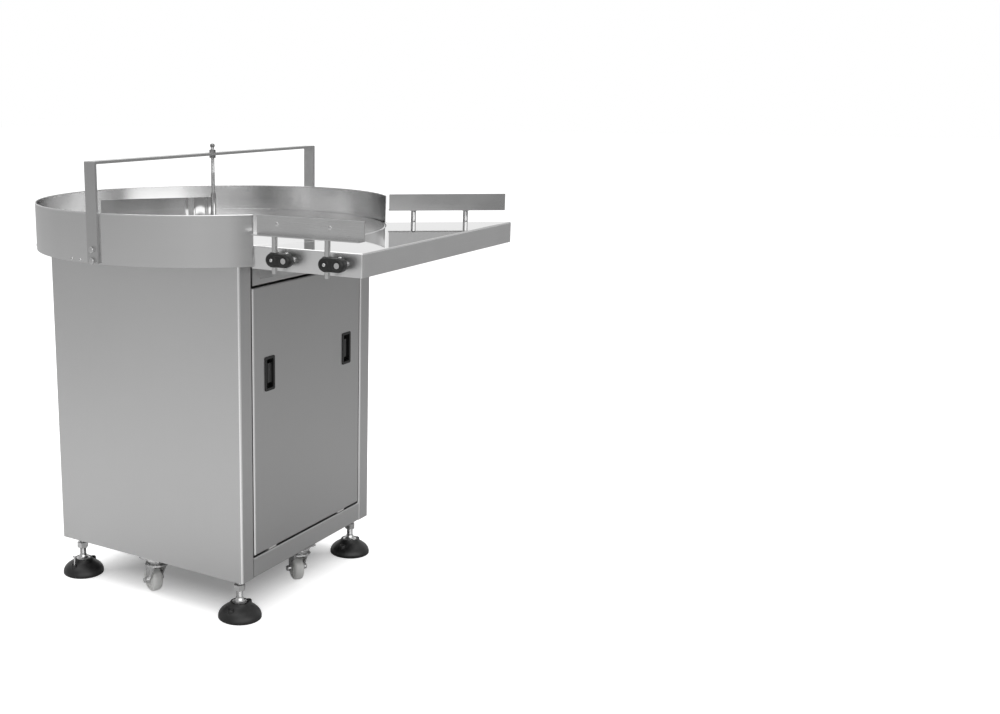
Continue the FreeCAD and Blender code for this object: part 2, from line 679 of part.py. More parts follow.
def caster(name, side_x, side_y, heading):
    """A swivel fork with its axle bolt, and the wheel it carries, trailing along heading."""
    x, y = caster_axis(side_x, side_y)
    fork = make_body("caster_fork_" + name)
    disc = new_sketch(fork, "XY_Plane", "crown_bottom")
    circle(disc, ("0", "0"), "crown_radius")
    pad(fork, disc, "caster_gauge")
    cheeks = new_sketch(fork, "XZ_Plane")
    outline(cheeks, [("-crown_radius * 0.75", "crown_top"), ("crown_radius * 0.85", "crown_top"),
                     ("caster_trail + 9", "axle_height + 5"), ("caster_trail + 7", "axle_height - 6"),
                     ("caster_trail - 5", "axle_height - 8"), ("caster_trail - 10", "axle_height + 1")])
    pad(fork, cheeks, "2 * %s + 2 * caster_gauge" % CHEEK, middle=True)
    slot = new_sketch(fork, "XZ_Plane")
    outline(slot, [("-crown_radius - 5", "wheel_lift"), ("crown_radius + 20", "wheel_lift"),
                   ("crown_radius + 20", "crown_bottom"), ("-crown_radius - 5", "crown_bottom")])
    pocket(fork, slot, "2 * %s" % CHEEK, middle=True)
    axle = new_sketch(fork, "XZ_Plane")
    circle(axle, ("caster_trail", "axle_height"), "axle_radius")
    pad(fork, axle, "2 * %s + 2 * caster_gauge + 2 * axle_end" % CHEEK, middle=True)
    for side in (-1, 1):
        lift = "%d * (%s + caster_gauge + %s)" % (side, CHEEK, "axle_nut" if side < 0 else "0")
        head = new_sketch(fork, "XZ_Plane", lift)
        circle(head, ("caster_trail", "axle_height"), "axle_radius * 1.7")
        pad(fork, head, "axle_nut")
    put(fork, x, y, turn=heading)
    keep("caster_fork_" + name, fork)

    wheel = make_body("caster_wheel_" + name)
    tread = new_sketch(wheel, "YZ_Plane")
    half = "wheel_width / 2"
    bore = "axle_radius + 0.3"
    outline(tread, [(bore, "-" + half), ("axle_radius + 7", "-" + half),
                    ("axle_radius + 8", "-%s + 4" % half), ("wheel_radius - 9", "-%s + 4" % half),
                    ("wheel_radius - 7", "-%s + 1" % half),
                    ("wheel_radius - 2.5", "-%s + 2" % half), ("wheel_radius", "-%s + 7" % half),
                    ("wheel_radius", half + " - 7"), ("wheel_radius - 2.5", half + " - 2"),
                    ("wheel_radius - 7", half + " - 1"), ("wheel_radius - 9", half + " - 4"),
                    ("axle_radius + 8", half + " - 4"), ("axle_radius + 7", half), (bore, half)])
    revolve(wheel, tread)
    along = "caster_trail * cos(%s)" % heading
    across = "caster_trail * sin(%s)" % heading
    upright = Rotation(Vector(0, 0, 1), value(heading)) * Rotation(Vector(1, 0, 0), 90)
    wheel.Placement = FreeCAD.Placement(Vector(), upright)
    bind(wheel, Placement__Base__x="%s + %s" % (x, along), Placement__Base__y="%s + %s" % (y, across),
         Placement__Base__z="axle_height")
    keep("caster_wheel_" + name, wheel)


EDGE = "(ring_radius - sheet_gauge - disc_gap)"


def turntable():
    """The driven disc, the spider that stiffens it and the flanged drive shaft."""
    inside = EDGE + " - disc_gauge"
    disc = make_body("turntable_disc")
    profile = new_sketch(disc, "XZ_Plane")
    outline(profile, [("0", "disc_bottom"), (inside, "disc_bottom"), (inside, "deck_height - disc_rim"),
                      (EDGE, "deck_height - disc_rim"), (EDGE, "deck_height"), ("0", "deck_height")])
    plate = revolve(disc, profile)
    edge = value(EDGE)
    top = value("deck_height")
    fillet(disc, plate, "disc_gauge * 0.8",
           lambda line, at: abs(at.z - top) < 1e-6 and math.hypot(at.x, at.y) > edge - 1)
    keep("turntable_disc", disc)

    low = "disc_bottom - hub_height"
    spider = make_body("disc_spider")
    hub = new_sketch(spider, "XY_Plane", low)
    circle(hub, ("0", "0"), "hub_radius")
    pad(spider, hub, "hub_height")
    arm = new_sketch(spider, "XY_Plane", low)
    outline(arm, [("hub_radius / 2", "-arm_width / 2"), ("arm_reach", "-arm_width / 3"),
                  ("arm_reach", "arm_width / 3"), ("hub_radius / 2", "arm_width / 2")])
    polar(spider, pad(spider, arm, "hub_height"), "arm_count")
    keep("disc_spider", spider)

    shaft = make_body("drive_shaft")
    turned = new_sketch(shaft, "XZ_Plane")
    foot_end = "gear_bottom - 8"
    outline(turned, [("0", foot_end), ("shaft_radius - 1.5", foot_end),
                     ("shaft_radius", foot_end + " + 1.5"), ("shaft_radius", low + " - 9"),
                     ("shaft_flange", low + " - 9"), ("shaft_flange", low), ("0", low)])
    revolve(shaft, turned)
    keep("drive_shaft", shaft)


def shaft_bearing():
    """The square-flanged bearing that hangs below the top plate."""
    body = make_body("shaft_bearing")
    half = "bearing_side / 2"
    sketch = new_sketch(body, "XY_Plane", "cab_top - bearing_flange")
    outline(sketch, [("-" + half, "-" + half), (half, "-" + half), (half, half), ("-" + half, half)])
    flange = pad(body, sketch, "bearing_flange")
    fillet(body, flange, "bearing_round", lambda edge, at: is_upright(edge))
    boss = new_sketch(body, "XY_Plane", "cab_top - bearing_height")
    circle(boss, ("0", "0"), "bearing_boss")
    pad(body, boss, "bearing_height")
    bore = new_sketch(body, "XY_Plane", "cab_top")
    circle(bore, ("0", "0"), "shaft_radius + shaft_clear")
    pocket(body, bore)
    keep("shaft_bearing", body)


def gearbox():
    """A worm gearbox with a hollow output shaft, hung under the bearing, and its motor flange."""
    body = make_body("worm_gearbox")
    half = "gear_side / 2"
    sketch = new_sketch(body, "XY_Plane", "gear_bottom + 10")
    outline(sketch, [("-" + half, "-" + half), (half + " + 12", "-" + half), (half + " + 12", half),
                     ("-" + half, half)])
    housing = pad(body, sketch, "gear_height - 20")
    fillet(body, housing, "gear_round", lambda edge, at: is_upright(edge))
    hub = new_sketch(body, "XY_Plane", "gear_bottom")
    circle(hub, ("0", "0"), "gear_hub")
    pad(body, hub, "gear_height")
    flange = new_sketch(body, "XZ_Plane", "-(gear_side / 2 + 10)")
    circle(flange, ("worm_offset", "motor_middle"), "motor_flange - 12")
    pad(body, flange, "14")
    bore = new_sketch(body, "XY_Plane", "gear_top")
    circle(bore, ("0", "0"), "shaft_radius + shaft_clear")
    pocket(body, bore)
    keep("worm_gearbox", body)


FAN_SLOTS = 6


def motor():
    """A small finned motor that lies behind the gearbox, with its fan cover and terminal box."""
    start = "(gear_side / 2 + 10)"
    body = make_body("drive_motor")
    flange = new_sketch(body, "XY_Plane")
    circle(flange, ("0", "0"), "motor_flange")
    pad(body, flange, "9")
    barrel = new_sketch(body, "XY_Plane")
    circle(barrel, ("0", "0"), "motor_radius")
    pad(body, barrel, "motor_length")
    fin = new_sketch(body, "XY_Plane", "9")
    outline(fin, [("motor_radius - 2", "-fin_gauge / 2"), ("motor_radius + fin_height", "-fin_gauge / 2"),
                  ("motor_radius + fin_height", "fin_gauge / 2"), ("motor_radius - 2", "fin_gauge / 2")])
    polar(body, pad(body, fin, "motor_length - 14"), "fin_count")
    shield = new_sketch(body, "XY_Plane", "motor_length - 8")
    circle(shield, ("0", "0"), "motor_radius + fin_height - 2")
    pad(body, shield, "8")
    turn = Rotation(Vector(1, 0, 0), -90)
    body.Placement = FreeCAD.Placement(Vector(), turn)
    put(body, "worm_offset", start, "motor_middle")
    keep("drive_motor", body)

    cover = make_body("motor_fan_cover")
    profile = new_sketch(cover, "XZ_Plane")
    outer = "(motor_radius + fin_height)"
    wall = outer + " - fan_gauge"
    outline(profile, [("0", "fan_length - fan_gauge"), ("motor_radius - 6", "fan_length - fan_gauge"),
                      (wall, "fan_length - 12"), (wall, "0"), (outer, "0"),
                      (outer, "fan_length - 11"), ("motor_radius - 5", "fan_length"), ("0", "fan_length")])
    revolve(cover, profile)
    slots = new_sketch(cover, "XY_Plane", "fan_length")
    for number in range(FAN_SLOTS):
        place = "%s * fan_pitch" % (number - (FAN_SLOTS - 1) / 2)
        reach = "(sqrt((motor_radius - 14) * (motor_radius - 14) - (%s) * (%s)) - 4)" % (place, place)
        low = place + " - fan_slot / 2"
        high = place + " + fan_slot / 2"
        outline(slots, [("-" + reach, low), (reach, low), (reach, high), ("-" + reach, high)])
    pocket(cover, slots, "2 * fan_gauge")
    cover.Placement = FreeCAD.Placement(Vector(), turn)
    put(cover, "worm_offset", start + " + motor_length - 5", "motor_middle")
    keep("motor_fan_cover", cover)

    half = "box_side / 2"
    terminal = make_body("terminal_box")
    sketch = new_sketch(terminal, "XY_Plane")
    outline(sketch, [("-" + half, "-" + half), (half, "-" + half), (half, half), ("-" + half, half)])
    block = pad(terminal, sketch, "box_height")
    fillet(terminal, block, "box_round", lambda edge, at: is_upright(edge))
    terminal.Placement = FreeCAD.Placement(Vector(), Rotation(Vector(0, 1, 0), 90))
    put(terminal, "worm_offset + motor_radius + fin_height", start + " + 12 + box_side / 2", "motor_middle")
    keep("terminal_box", terminal)


def controls():
    """The speed controller on the back panel, its knob and switch, and the cable gland."""
    face = "(%s - drive_depth)" % INSIDE_BACK
    body = make_body("speed_controller")
    sketch = new_sketch(body, "XZ_Plane", "-" + INSIDE_BACK)
    half = "drive_width / 2"
    low = "drive_bottom"
    high = "drive_bottom + drive_height"
    outline(sketch, [("-" + half, low), (half, low), (half, high), ("-" + half, high)])
    block = pad(body, sketch, "drive_depth")
    front = value(face)
    fillet(body, block, "drive_round", lambda edge, at: abs(at.y - front) < 1e-6)
    keep("speed_controller", body)

    for name, place in (("speed_knob", "knob_place"), ("run_switch", "-knob_place")):
        knob = make_body(name)
        grip = new_sketch(knob, "XZ_Plane")
        outline(grip, [("0", "0"), ("knob_radius", "0"), ("knob_radius", "4"), ("knob_radius - 2", "5"),
                       ("knob_radius - 3", "knob_height - 1"), ("knob_radius - 4", "knob_height"),
                       ("0", "knob_height")])
        revolve(knob, grip)
        bar = new_sketch(knob, "XY_Plane")
        outline(bar, [("-2.5", "0"), ("2.5", "0"), ("2.5", "knob_radius - 1"), ("-2.5", "knob_radius - 1")])
        pad(knob, bar, "knob_height + 1.5")
        knob.Placement = FreeCAD.Placement(Vector(), Rotation(Vector(1, 0, 0), 90))
        put(knob, place, face + " - 0.3", "drive_bottom + drive_height * 0.68")
        keep(name, knob)

    gland = make_body("cable_gland")
    profile = new_sketch(gland, "XZ_Plane")
    outline(profile, [("0", "-10"), ("gland_radius * 0.65", "-10"), ("gland_radius * 0.65", "0"),
                      ("gland_radius", "0"), ("gland_radius", "9"), ("gland_radius - 2", "17"),
                      ("gland_radius * 0.45", "20"), ("0", "20")])
    revolve(gland, profile)
    gland.Placement = FreeCAD.Placement(Vector(), Rotation(Vector(1, 0, 0), -90))
    put(gland, HALF_X + " - gland_inset", "cab_depth / 2 - sheet_gauge", "gland_height")
    keep("cable_gland", gland)


BAND_LEFT = "(180 + acos((cab_width / 2 + 1) / (ring_radius - sheet_gauge)) / 1 deg)"
SLANT = "flare_angle"


def band(name, start, stop):
    """One stretch of the guard band, between two directions in degrees."""
    body = make_body(name)
    sketch = new_sketch(body, "XZ_Plane")
    outline(sketch, [("ring_radius - sheet_gauge", "ring_bottom"), ("ring_radius", "ring_bottom"),
                     ("ring_radius", "ring_top"), ("ring_radius - sheet_gauge", "ring_top")])
    revolve(body, sketch, "%s - (%s)" % (stop, start))
    return put(body, turn=start)


def slant_distance():
    """From the axis to the line of the shelf's slanted edge."""
    return "(shelf_right * cos(%s) - shelf_reach * sin(%s))" % (SLANT, SLANT)


def band_right():
    """Direction of the band's right end, where the slanted edge of the shelf meets it."""
    return "(%s - acos((%s + 1) / (ring_radius - sheet_gauge)) / 1 deg)" % (SLANT, slant_distance())


def chord(aside):
    """Distance from the axis to a flat piece inside the band that reaches aside to each side."""
    return "sqrt((ring_radius - sheet_gauge) * (ring_radius - sheet_gauge) - (%s) * (%s))" % (aside, aside)


def bolt_levels():
    return ["bolt_low", "bolt_low + bolt_pitch"]


def bridge_holes(name, side):
    """Tools that drill a band end for the two bridge bolts."""
    start = "%d * ring_radius - 10" % side
    return [rod("%s_hole_%d" % (name, number), "bolt_radius + 0.3", "20", (start, "0", level), axis="X")
            for number, level in enumerate(bolt_levels(), start=1)]


def guard_band():
    """Three stretches of band: the back one, and two front ones that the bridge bolts pass through."""
    keep("band_back", band("band_back", "seam_angle", "180 - seam_angle"))
    left = band("band_left_strip", "180 - seam_angle", BAND_LEFT)
    right = band("band_right_strip", band_right(), "seam_angle")
    keep("band_front_left", cut("band_front_left", left, *bridge_holes("band_left", -1)))
    keep("band_front_right", cut("band_front_right", right, *bridge_holes("band_right", 1)))


# directions of the brackets, in degrees: five round the back, and one beside each end of the shelf
BRACKETS = ["bracket_angle", "90 - bracket_step", "90", "90 + bracket_step", "180 - bracket_angle",
            "180 + end_angle", "-end_angle"]


def band_brackets():
    """Flat arms on the top plate, each with a tab that is folded down against the band."""
    arms = []
    inside = chord("bracket_width / 2") + " - bracket_clear"
    for number, angle in enumerate(BRACKETS, start=1):
        body = make_body("band_bracket_%d" % number)
        sketch = new_sketch(body, "XZ_Plane")
        top = "plate_top + bracket_gauge"
        low = "ring_bottom + 1"
        tab = inside + " - bracket_gauge"
        outline(sketch, [("bracket_start", "plate_top"), (tab, "plate_top"), (tab, low),
                         (inside, low), (inside, top), ("bracket_start", top)])
        pad(body, sketch, "bracket_width", middle=True)
        arms.append(put(body, turn=angle))
    return keep("band_brackets", group("band_brackets", *arms))


def slanted(back, aside):
    """A point given along the slanted edge from its outer corner, and aside from it, outwards."""
    x = "shelf_right - (%s) * sin(%s) + (%s) * cos(%s)" % (back, SLANT, aside, SLANT)
    y = "-shelf_reach + (%s) * cos(%s) + (%s) * sin(%s)" % (back, SLANT, aside, SLANT)
    return x, y


def shelf():
    """The outfeed shelf: a folded tray whose inner edge follows the turntable, and its brackets."""
    body = make_body("outfeed_shelf")
    left = "-cab_width / 2"
    sketch = new_sketch(body, "XY_Plane", "deck_height - shelf_apron")
    inner_x, inner_y = slanted("shelf_run", "0")
    outline(sketch, [(left, "-shelf_reach"), ("shelf_right", "-shelf_reach"), (inner_x, inner_y),
                     (left, inner_y)])
    tray = pad(body, sketch, "shelf_apron")
    outer = value("-shelf_reach")
    top = value("deck_height")
    inside = value(inner_y)
    fillet(body, tray, "bend_radius", lambda edge, at: (is_upright(edge) and abs(at.y - outer) < 1e-6) or (
        abs(at.z - top) < 1e-6 and abs(at.y - inside) > 1e-6))
    hollow = new_sketch(body, "XY_Plane", "deck_height - shelf_apron")
    near_x = left + " + sheet_gauge"
    near_y = "-shelf_reach + sheet_gauge"
    corner_x = "shelf_right - sheet_gauge * (1 + sin(%s)) / cos(%s)" % (SLANT, SLANT)
    inner_x, inner_y = slanted("shelf_run + 20", "-sheet_gauge")
    outline(hollow, [(near_x, near_y), (corner_x, near_y), (inner_x, inner_y), (near_x, inner_y)])
    pocket(body, hollow, "shelf_apron - sheet_gauge", down=True)
    arc = new_sketch(body, "XY_Plane", "deck_height")
    circle(arc, ("0", "0"), "ring_radius - sheet_gauge - disc_gap + shelf_gap")
    pocket(body, arc)
    keep("outfeed_shelf", body)

    gussets = []
    for side in (-1, 1):
        gusset = make_body("shelf_gusset_%s" % ("left" if side < 0 else "right"))
        plate = new_sketch(gusset, "YZ_Plane", "%d * gusset_place" % side)
        top = "deck_height - sheet_gauge"
        front = "-cab_depth / 2"
        aside = "(gusset_place - plate_gauge)"
        clear = "-sqrt(%s * %s - %s * %s) - 4" % (EDGE, EDGE, aside, aside)
        tip = front + " - gusset_reach"
        outline(plate, [(front, top + " - gusset_height"), (front, "cab_top"), (clear, "cab_top"),
                        (clear, top), (tip, top), (tip, top + " - gusset_tip")])
        pad(gusset, plate, "plate_gauge", middle=True)
        gussets.append(gusset)
    keep("shelf_brackets", group("shelf_brackets", *gussets))


def bridge():
    """The flat bar bent over the turntable, its bolts, and the two nuts that hold the rod."""
    body = make_body("bridge_bar")
    outside = "(ring_radius + bar_gauge)"
    sketch = new_sketch(body, "XZ_Plane")
    outline(sketch, [("-" + outside, "bar_foot"), ("-ring_radius", "bar_foot"),
                     ("-ring_radius", "bridge_bottom"), ("ring_radius", "bridge_bottom"),
                     ("ring_radius", "bar_foot"), (outside, "bar_foot"), (outside, "bridge_top"),
                     ("-" + outside, "bridge_top")])
    bar = pad(body, sketch, "bar_width", middle=True)
    top = value("bridge_top")
    edge = value(outside)
    fillet(body, bar, "bar_round",
           lambda line, at: abs(at.z - top) < 1e-6 and abs(abs(at.x) - edge) < 1e-6)
    hole = new_sketch(body, "XY_Plane", "bridge_top")
    circle(hole, ("0", "0"), "rod_radius + 0.5")
    pocket(body, hole, "2 * bar_gauge")
    bolt_holes = new_sketch(body, "YZ_Plane")
    for level in bolt_levels():
        circle(bolt_holes, ("0", level), "bolt_radius + 0.3")
    pocket(body, bolt_holes, "2 * %s + 2" % outside, middle=True)
    keep("bridge_bar", body)

    bolts = []
    nut_face = chord("nut_flats / sqrt(3)")
    tip = "(%s - bolt_nut)" % nut_face
    for side in (-1, 1):
        for number, level in enumerate(bolt_levels(), start=1):
            name = "bridge_bolt_%s_%d" % ("left" if side < 0 else "right", number)
            head_start = outside if side > 0 else "-%s - bolt_head" % outside
            nut_start = tip if side > 0 else "-" + nut_face
            shank_start = tip if side > 0 else "-" + outside
            head = hexagon(name + "_head", "nut_flats", "bolt_head", (head_start, "0", level), axis="X")
            nut = hexagon(name + "_nut", "nut_flats", "bolt_nut", (nut_start, "0", level), axis="X")
            length = "%s - %s" % (outside, tip)
            shank = rod(name + "_shank", "bolt_radius", length, (shank_start, "0", level), axis="X")
            bolts.append(fuse(name, head, shank, nut))
    keep("bridge_bolts", group("bridge_bolts", *bolts))

    nuts = []
    for name, level in (("upper", "bridge_top"), ("lower", "bridge_bottom - nut_height")):
        block = hexagon("rod_nut_block_" + name, "nut_flats", "nut_height", ("0", "0", level))
        bore = rod("rod_nut_bore_" + name, "rod_radius + 0.3", "nut_height + 2", ("0", "0", level + " - 1"))
        nuts.append(cut("rod_nut_" + name, block, bore))
    keep("rod_nuts", group("rod_nuts", *nuts))


def deflector():
    """The hanging rod, and the polished blade that swings on it just above the turntable."""
    body = make_body("deflector_rod")
    profile = new_sketch(body, "XZ_Plane")
    outline(profile, [("0", "rod_foot"), ("rod_radius", "rod_foot"), ("rod_radius", "rod_top - 3"),
                      ("rod_radius - 2", "rod_top"), ("0", "rod_top")])
    revolve(body, profile)
    keep("deflector_rod", body)

    blade = make_body("deflector_blade")
    sleeve = new_sketch(blade, "XY_Plane", "blade_low")
    circle(sleeve, ("0", "0"), "sleeve_radius")
    pad(blade, sleeve, "sleeve_height")
    sheet_outline = new_sketch(blade, "XZ_Plane")
    outline(sheet_outline, [("0", "blade_low"), ("blade_length", "blade_low"),
                            ("blade_length", "blade_top"), ("0", "blade_top")])
    pad(blade, sheet_outline, "sheet_gauge", middle=True)
    bore = new_sketch(blade, "XY_Plane", "sleeve_top")
    circle(bore, ("0", "0"), "rod_radius + 0.3")
    pocket(blade, bore, "sleeve_height + blade_lift")
    put(blade, turn="blade_angle")
    keep("deflector_blade", blade)


def guide(side, base, turn, start, length, first_rod, along):
    """A side guide in its own frame: +X points to the shelf, and its length runs along Y.

    The folded guide stands on two rods, each rod is held in a cross clamp, and each clamp slides
    on a stud that is fixed to the shelf's apron.
    """
    x, y = base
    ends = ["%s" % start, "%s + %s" % (start, length)]
    if along < 0:
        ends = ["-(%s)" % text for text in reversed(ends)]
    rail = make_body(side + "_guide")
    sketch = new_sketch(rail, "XZ_Plane", "-(%s)" % ends[0])
    face = "-guide_stand"
    foot = "guide_low - sheet_gauge"
    outline(sketch, [(face, "guide_low"), (face, "guide_top"), (face + " + sheet_gauge", "guide_top"),
                     (face + " + sheet_gauge", foot), (face + " - guide_flange", foot),
                     (face + " - guide_flange", "guide_low")])
    pad(rail, sketch, length, down=True)
    put(rail, x, y, turn=turn)
    keep(side + "_guide", rail)

    posts = []
    clamps = []
    studs = []
    for number in (1, 2):
        at = "%d * (%s + %d * rod_pitch)" % (along, first_rod, number - 1)
        name = "%s_%d" % (side, number)
        post = make_body("guide_post_" + name)
        shank = new_sketch(post, "XY_Plane", "post_foot")
        circle(shank, ("-post_stand", at), "post_radius")
        pad(post, shank, "guide_low - sheet_gauge - post_foot")
        posts.append(put(post, x, y, turn=turn))

        bore_y = "%s + %d * clamp_pitch" % (at, along)
        clamp = make_body("guide_clamp_" + name)
        boss = new_sketch(clamp, "XY_Plane", "clamp_bottom")
        circle(boss, ("-post_stand", at), "clamp_boss")
        pad(clamp, boss, "clamp_height")
        web = new_sketch(clamp, "XY_Plane", "clamp_bottom + 4")
        sides = sorted((at, bore_y), key=value)
        near = "-post_stand - clamp_boss + 4"
        far = "-post_stand + clamp_boss - 4"
        outline(web, [(near, sides[0]), (far, sides[0]), (far, sides[1]), (near, sides[1])])
        pad(clamp, web, "clamp_height - 8")
        barrel = new_sketch(clamp, "YZ_Plane", "-post_stand")
        circle(barrel, (bore_y, "clamp_middle"), "clamp_height / 2")
        pad(clamp, barrel, "2 * clamp_boss", middle=True)
        upright = new_sketch(clamp, "XY_Plane", "clamp_bottom + clamp_height")
        circle(upright, ("-post_stand", at), "post_radius + clamp_clear")
        pocket(clamp, upright)
        level_bore = new_sketch(clamp, "YZ_Plane", "-post_stand")
        circle(level_bore, (bore_y, "clamp_middle"), "stud_radius + clamp_clear")
        pocket(clamp, level_bore, "4 * clamp_boss", middle=True)
        clamps.append(put(clamp, x, y, turn=turn))

        stud = make_body("guide_stud_" + name)
        pin = new_sketch(stud, "YZ_Plane")
        circle(pin, (bore_y, "clamp_middle"), "stud_radius")
        pad(stud, pin, "post_stand + clamp_boss", down=True)
        studs.append(put(stud, x, y, turn=turn))
    keep(side + "_guide_posts", group(side + "_guide_posts", *posts))
    keep(side + "_clamps", group(side + "_clamps", *clamps))
    return studs


def guides():
    studs = guide("near", ("-cab_width / 2", "0"), "0", "near_start", "near_length", "near_rod", -1)
    band_meet = "sqrt(ring_radius * ring_radius - %s * %s)" % (slant_distance(), slant_distance())
    foot_x = "%s * cos(%s)" % (slant_distance(), SLANT)
    foot_y = "%s * sin(%s)" % (slant_distance(), SLANT)
    start = "%s + far_start" % band_meet
    studs += guide("far", (foot_x, foot_y), "180 + " + SLANT, start, "far_length", start + " + far_rod", 1)
    keep("guide_studs", group("guide_studs", *studs))


def latch(name, side):
    """A flush latch: a black cup with a bezel, and the sliding thumb piece with its bolt."""
    x = "%d * latch_place" % side
    face = "-cab_depth / 2"
    body = make_body("latch_cup_" + name)
    bezel = new_sketch(body, "XZ_Plane")
    outline(bezel, [("-latch_width / 2", "-latch_height / 2"), ("latch_width / 2", "-latch_height / 2"),
                    ("latch_width / 2", "latch_height / 2"), ("-latch_width / 2", "latch_height / 2")])
    plate = pad(body, bezel, "bezel_proud")
    fillet(body, plate, "bezel_round", lambda edge, at: abs(edge.Vertexes[0].Y - edge.Vertexes[-1].Y) > 1)
    cup = new_sketch(body, "XZ_Plane")
    wide = "(latch_width / 2 - latch_wall)"
    tall = "(latch_height / 2 - latch_wall)"
    outline(cup, [("-" + wide, "-" + tall), (wide, "-" + tall), (wide, tall), ("-" + wide, tall)])
    pad(body, cup, "latch_depth", down=True)
    hollow = new_sketch(body, "XZ_Plane", "bezel_proud")
    thin = "(latch_width / 2 - 2 * latch_wall)"
    high = "(latch_height / 2 - 2 * latch_wall)"
    outline(hollow, [("-" + thin, "-" + high), (thin, "-" + high), (thin, high), ("-" + thin, high)])
    pocket(body, hollow, "latch_depth + bezel_proud - 2")
    slot = new_sketch(body, "XZ_Plane", "bezel_proud")
    neck = "(latch_bolt / 2 + 0.5)"
    outline(slot, [("-" + thin, "-" + neck), (thin, "-" + neck), (thin, neck), ("-" + thin, neck)])
    pocket(body, slot, "latch_depth + bezel_proud + 1")
    put(body, x, face, "latch_middle")
    keep("latch_cup_" + name, body)

    slide = make_body("latch_slide_" + name)
    thumb = new_sketch(slide, "XZ_Plane", "-(latch_depth - 2 - 0.4)")
    inner = "%d * %s + %d * 0.5" % (-side, thin, side)
    ends = sorted((inner, "%s + %d * thumb_width" % (inner, side)), key=value)
    outline(thumb, [(ends[0], "-thumb_height / 2"), (ends[1], "-thumb_height / 2"),
                    (ends[1], "thumb_height / 2"), (ends[0], "thumb_height / 2")])
    pad(slide, thumb, "latch_depth - 5")
    neck_sketch = new_sketch(slide, "XZ_Plane", "-(fold_depth + 0.4)")
    outline(neck_sketch, [(ends[0], "-latch_bolt / 2"), (ends[1], "-latch_bolt / 2"),
                          (ends[1], "latch_bolt / 2"), (ends[0], "latch_bolt / 2")])
    pad(slide, neck_sketch, "fold_depth - latch_depth + 3")
    bolt = new_sketch(slide, "XZ_Plane", "-(fold_depth + 7.4)")
    tip = "%d * (cab_width / 2 - stile_width - door_gap - 1 - latch_place)" % side
    reach = sorted((ends[0] if side > 0 else ends[1], tip), key=value)
    outline(bolt, [(reach[0], "-latch_bolt / 2"), (reach[1], "-latch_bolt / 2"),
                   (reach[1], "latch_bolt / 2"), (reach[0], "latch_bolt / 2")])
    pad(slide, bolt, "7")
    put(slide, x, face, "latch_middle")
    keep("latch_slide_" + name, slide)


def door():
    """The lift-off door: a folded pan with two windows for the latches."""
    body = make_body("door_panel")
    half = "(cab_width / 2 - stile_width - door_gap)"
    low = "open_bottom + door_gap"
    high = "open_top - door_gap"
    sketch = new_sketch(body, "XZ_Plane", "cab_depth / 2 - fold_depth")
    outline(sketch, [("-" + half, low), (half, low), (half, high), ("-" + half, high)])
    block = pad(body, sketch, "fold_depth")
    front = value(FRONT)
    fillet(body, block, "bend_radius", lambda edge, at: abs(at.y - front) < 1e-6)
    hollow = new_sketch(body, "XZ_Plane", "cab_depth / 2 - fold_depth")
    thin = "(%s - sheet_gauge)" % half
    inner_low = low + " + sheet_gauge"
    inner_high = high + " - sheet_gauge"
    outline(hollow, [("-" + thin, inner_low), (thin, inner_low),
                     (thin, inner_high), ("-" + thin, inner_high)])
    pocket(body, hollow, "fold_depth - sheet_gauge", down=True)
    windows = new_sketch(body, "XZ_Plane", "cab_depth / 2")
    wide = "(latch_width / 2 - latch_wall)"
    tall = "(latch_height / 2 - latch_wall)"
    for side in (-1, 1):
        middle = "%d * latch_place" % side
        outline(windows, [("%s - %s" % (middle, wide), "latch_middle - " + tall),
                          ("%s + %s" % (middle, wide), "latch_middle - " + tall),
                          ("%s + %s" % (middle, wide), "latch_middle + " + tall),
                          ("%s - %s" % (middle, wide), "latch_middle + " + tall)])
    pocket(body, windows, "2 * sheet_gauge")
    keep("door_panel", body)


def build():
    side_wall("wall_left", -1)
    side_wall("wall_right", 1)
    back_panel()
    floor_pan()
    fascia_strip()
    top_plate()
    foot_bushes()
    door_rests()
    for number, (side_x, side_y) in enumerate(foot_places(), start=1):
        foot(number, side_x, side_y)
    caster_plates()
    for name, (side_x, side_y, heading) in CASTERS.items():
        caster(name, side_x, side_y, heading)
    turntable()
    shaft_bearing()
    gearbox()
    motor()
    controls()
    guard_band()
    band_brackets()
    shelf()
    bridge()
    deflector()
    guides()
    door()
    latch("left", -1)
    latch("right", 1)


def check(item):
    """Stop if an object failed, or if a finished shape is empty or broken."""
    failed = [flag for flag in item.State if flag in ("Invalid", "Error")]
    if failed:
        raise RuntimeError("%s: %s" % (item.Label, failed))


build()
doc.recompute()
for item in doc.Objects:
    check(item)
os.makedirs("parts", exist_ok=True)
for label, item in PARTS.items():
    if item.Shape.isNull() or not item.Shape.isValid() or item.Shape.Volume <= 0:
        raise RuntimeError(label + " has no valid shape")
    item.Shape.exportStep("parts/%s.step" % label)
    corners = item.Shape.BoundBox
    print("%-22s %d solids %10.0f mm3  x %.1f..%.1f  y %.1f..%.1f  z %.1f..%.1f" % (
        label, len(item.Shape.Solids), item.Shape.Volume, corners.XMin, corners.XMax,
        corners.YMin, corners.YMax, corners.ZMin, corners.ZMax))
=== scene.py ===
"""Looks of the rotary accumulation table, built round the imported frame.

The frame is the part's own, in metres: the origin is on the floor under the turntable axis, +Z is up,
the door faces -Y and the plain side wall faces -X. The helpers below take their sizes in millimetres.
"""
import json
import math

import bmesh
import bpy
from mathutils import Matrix, Vector


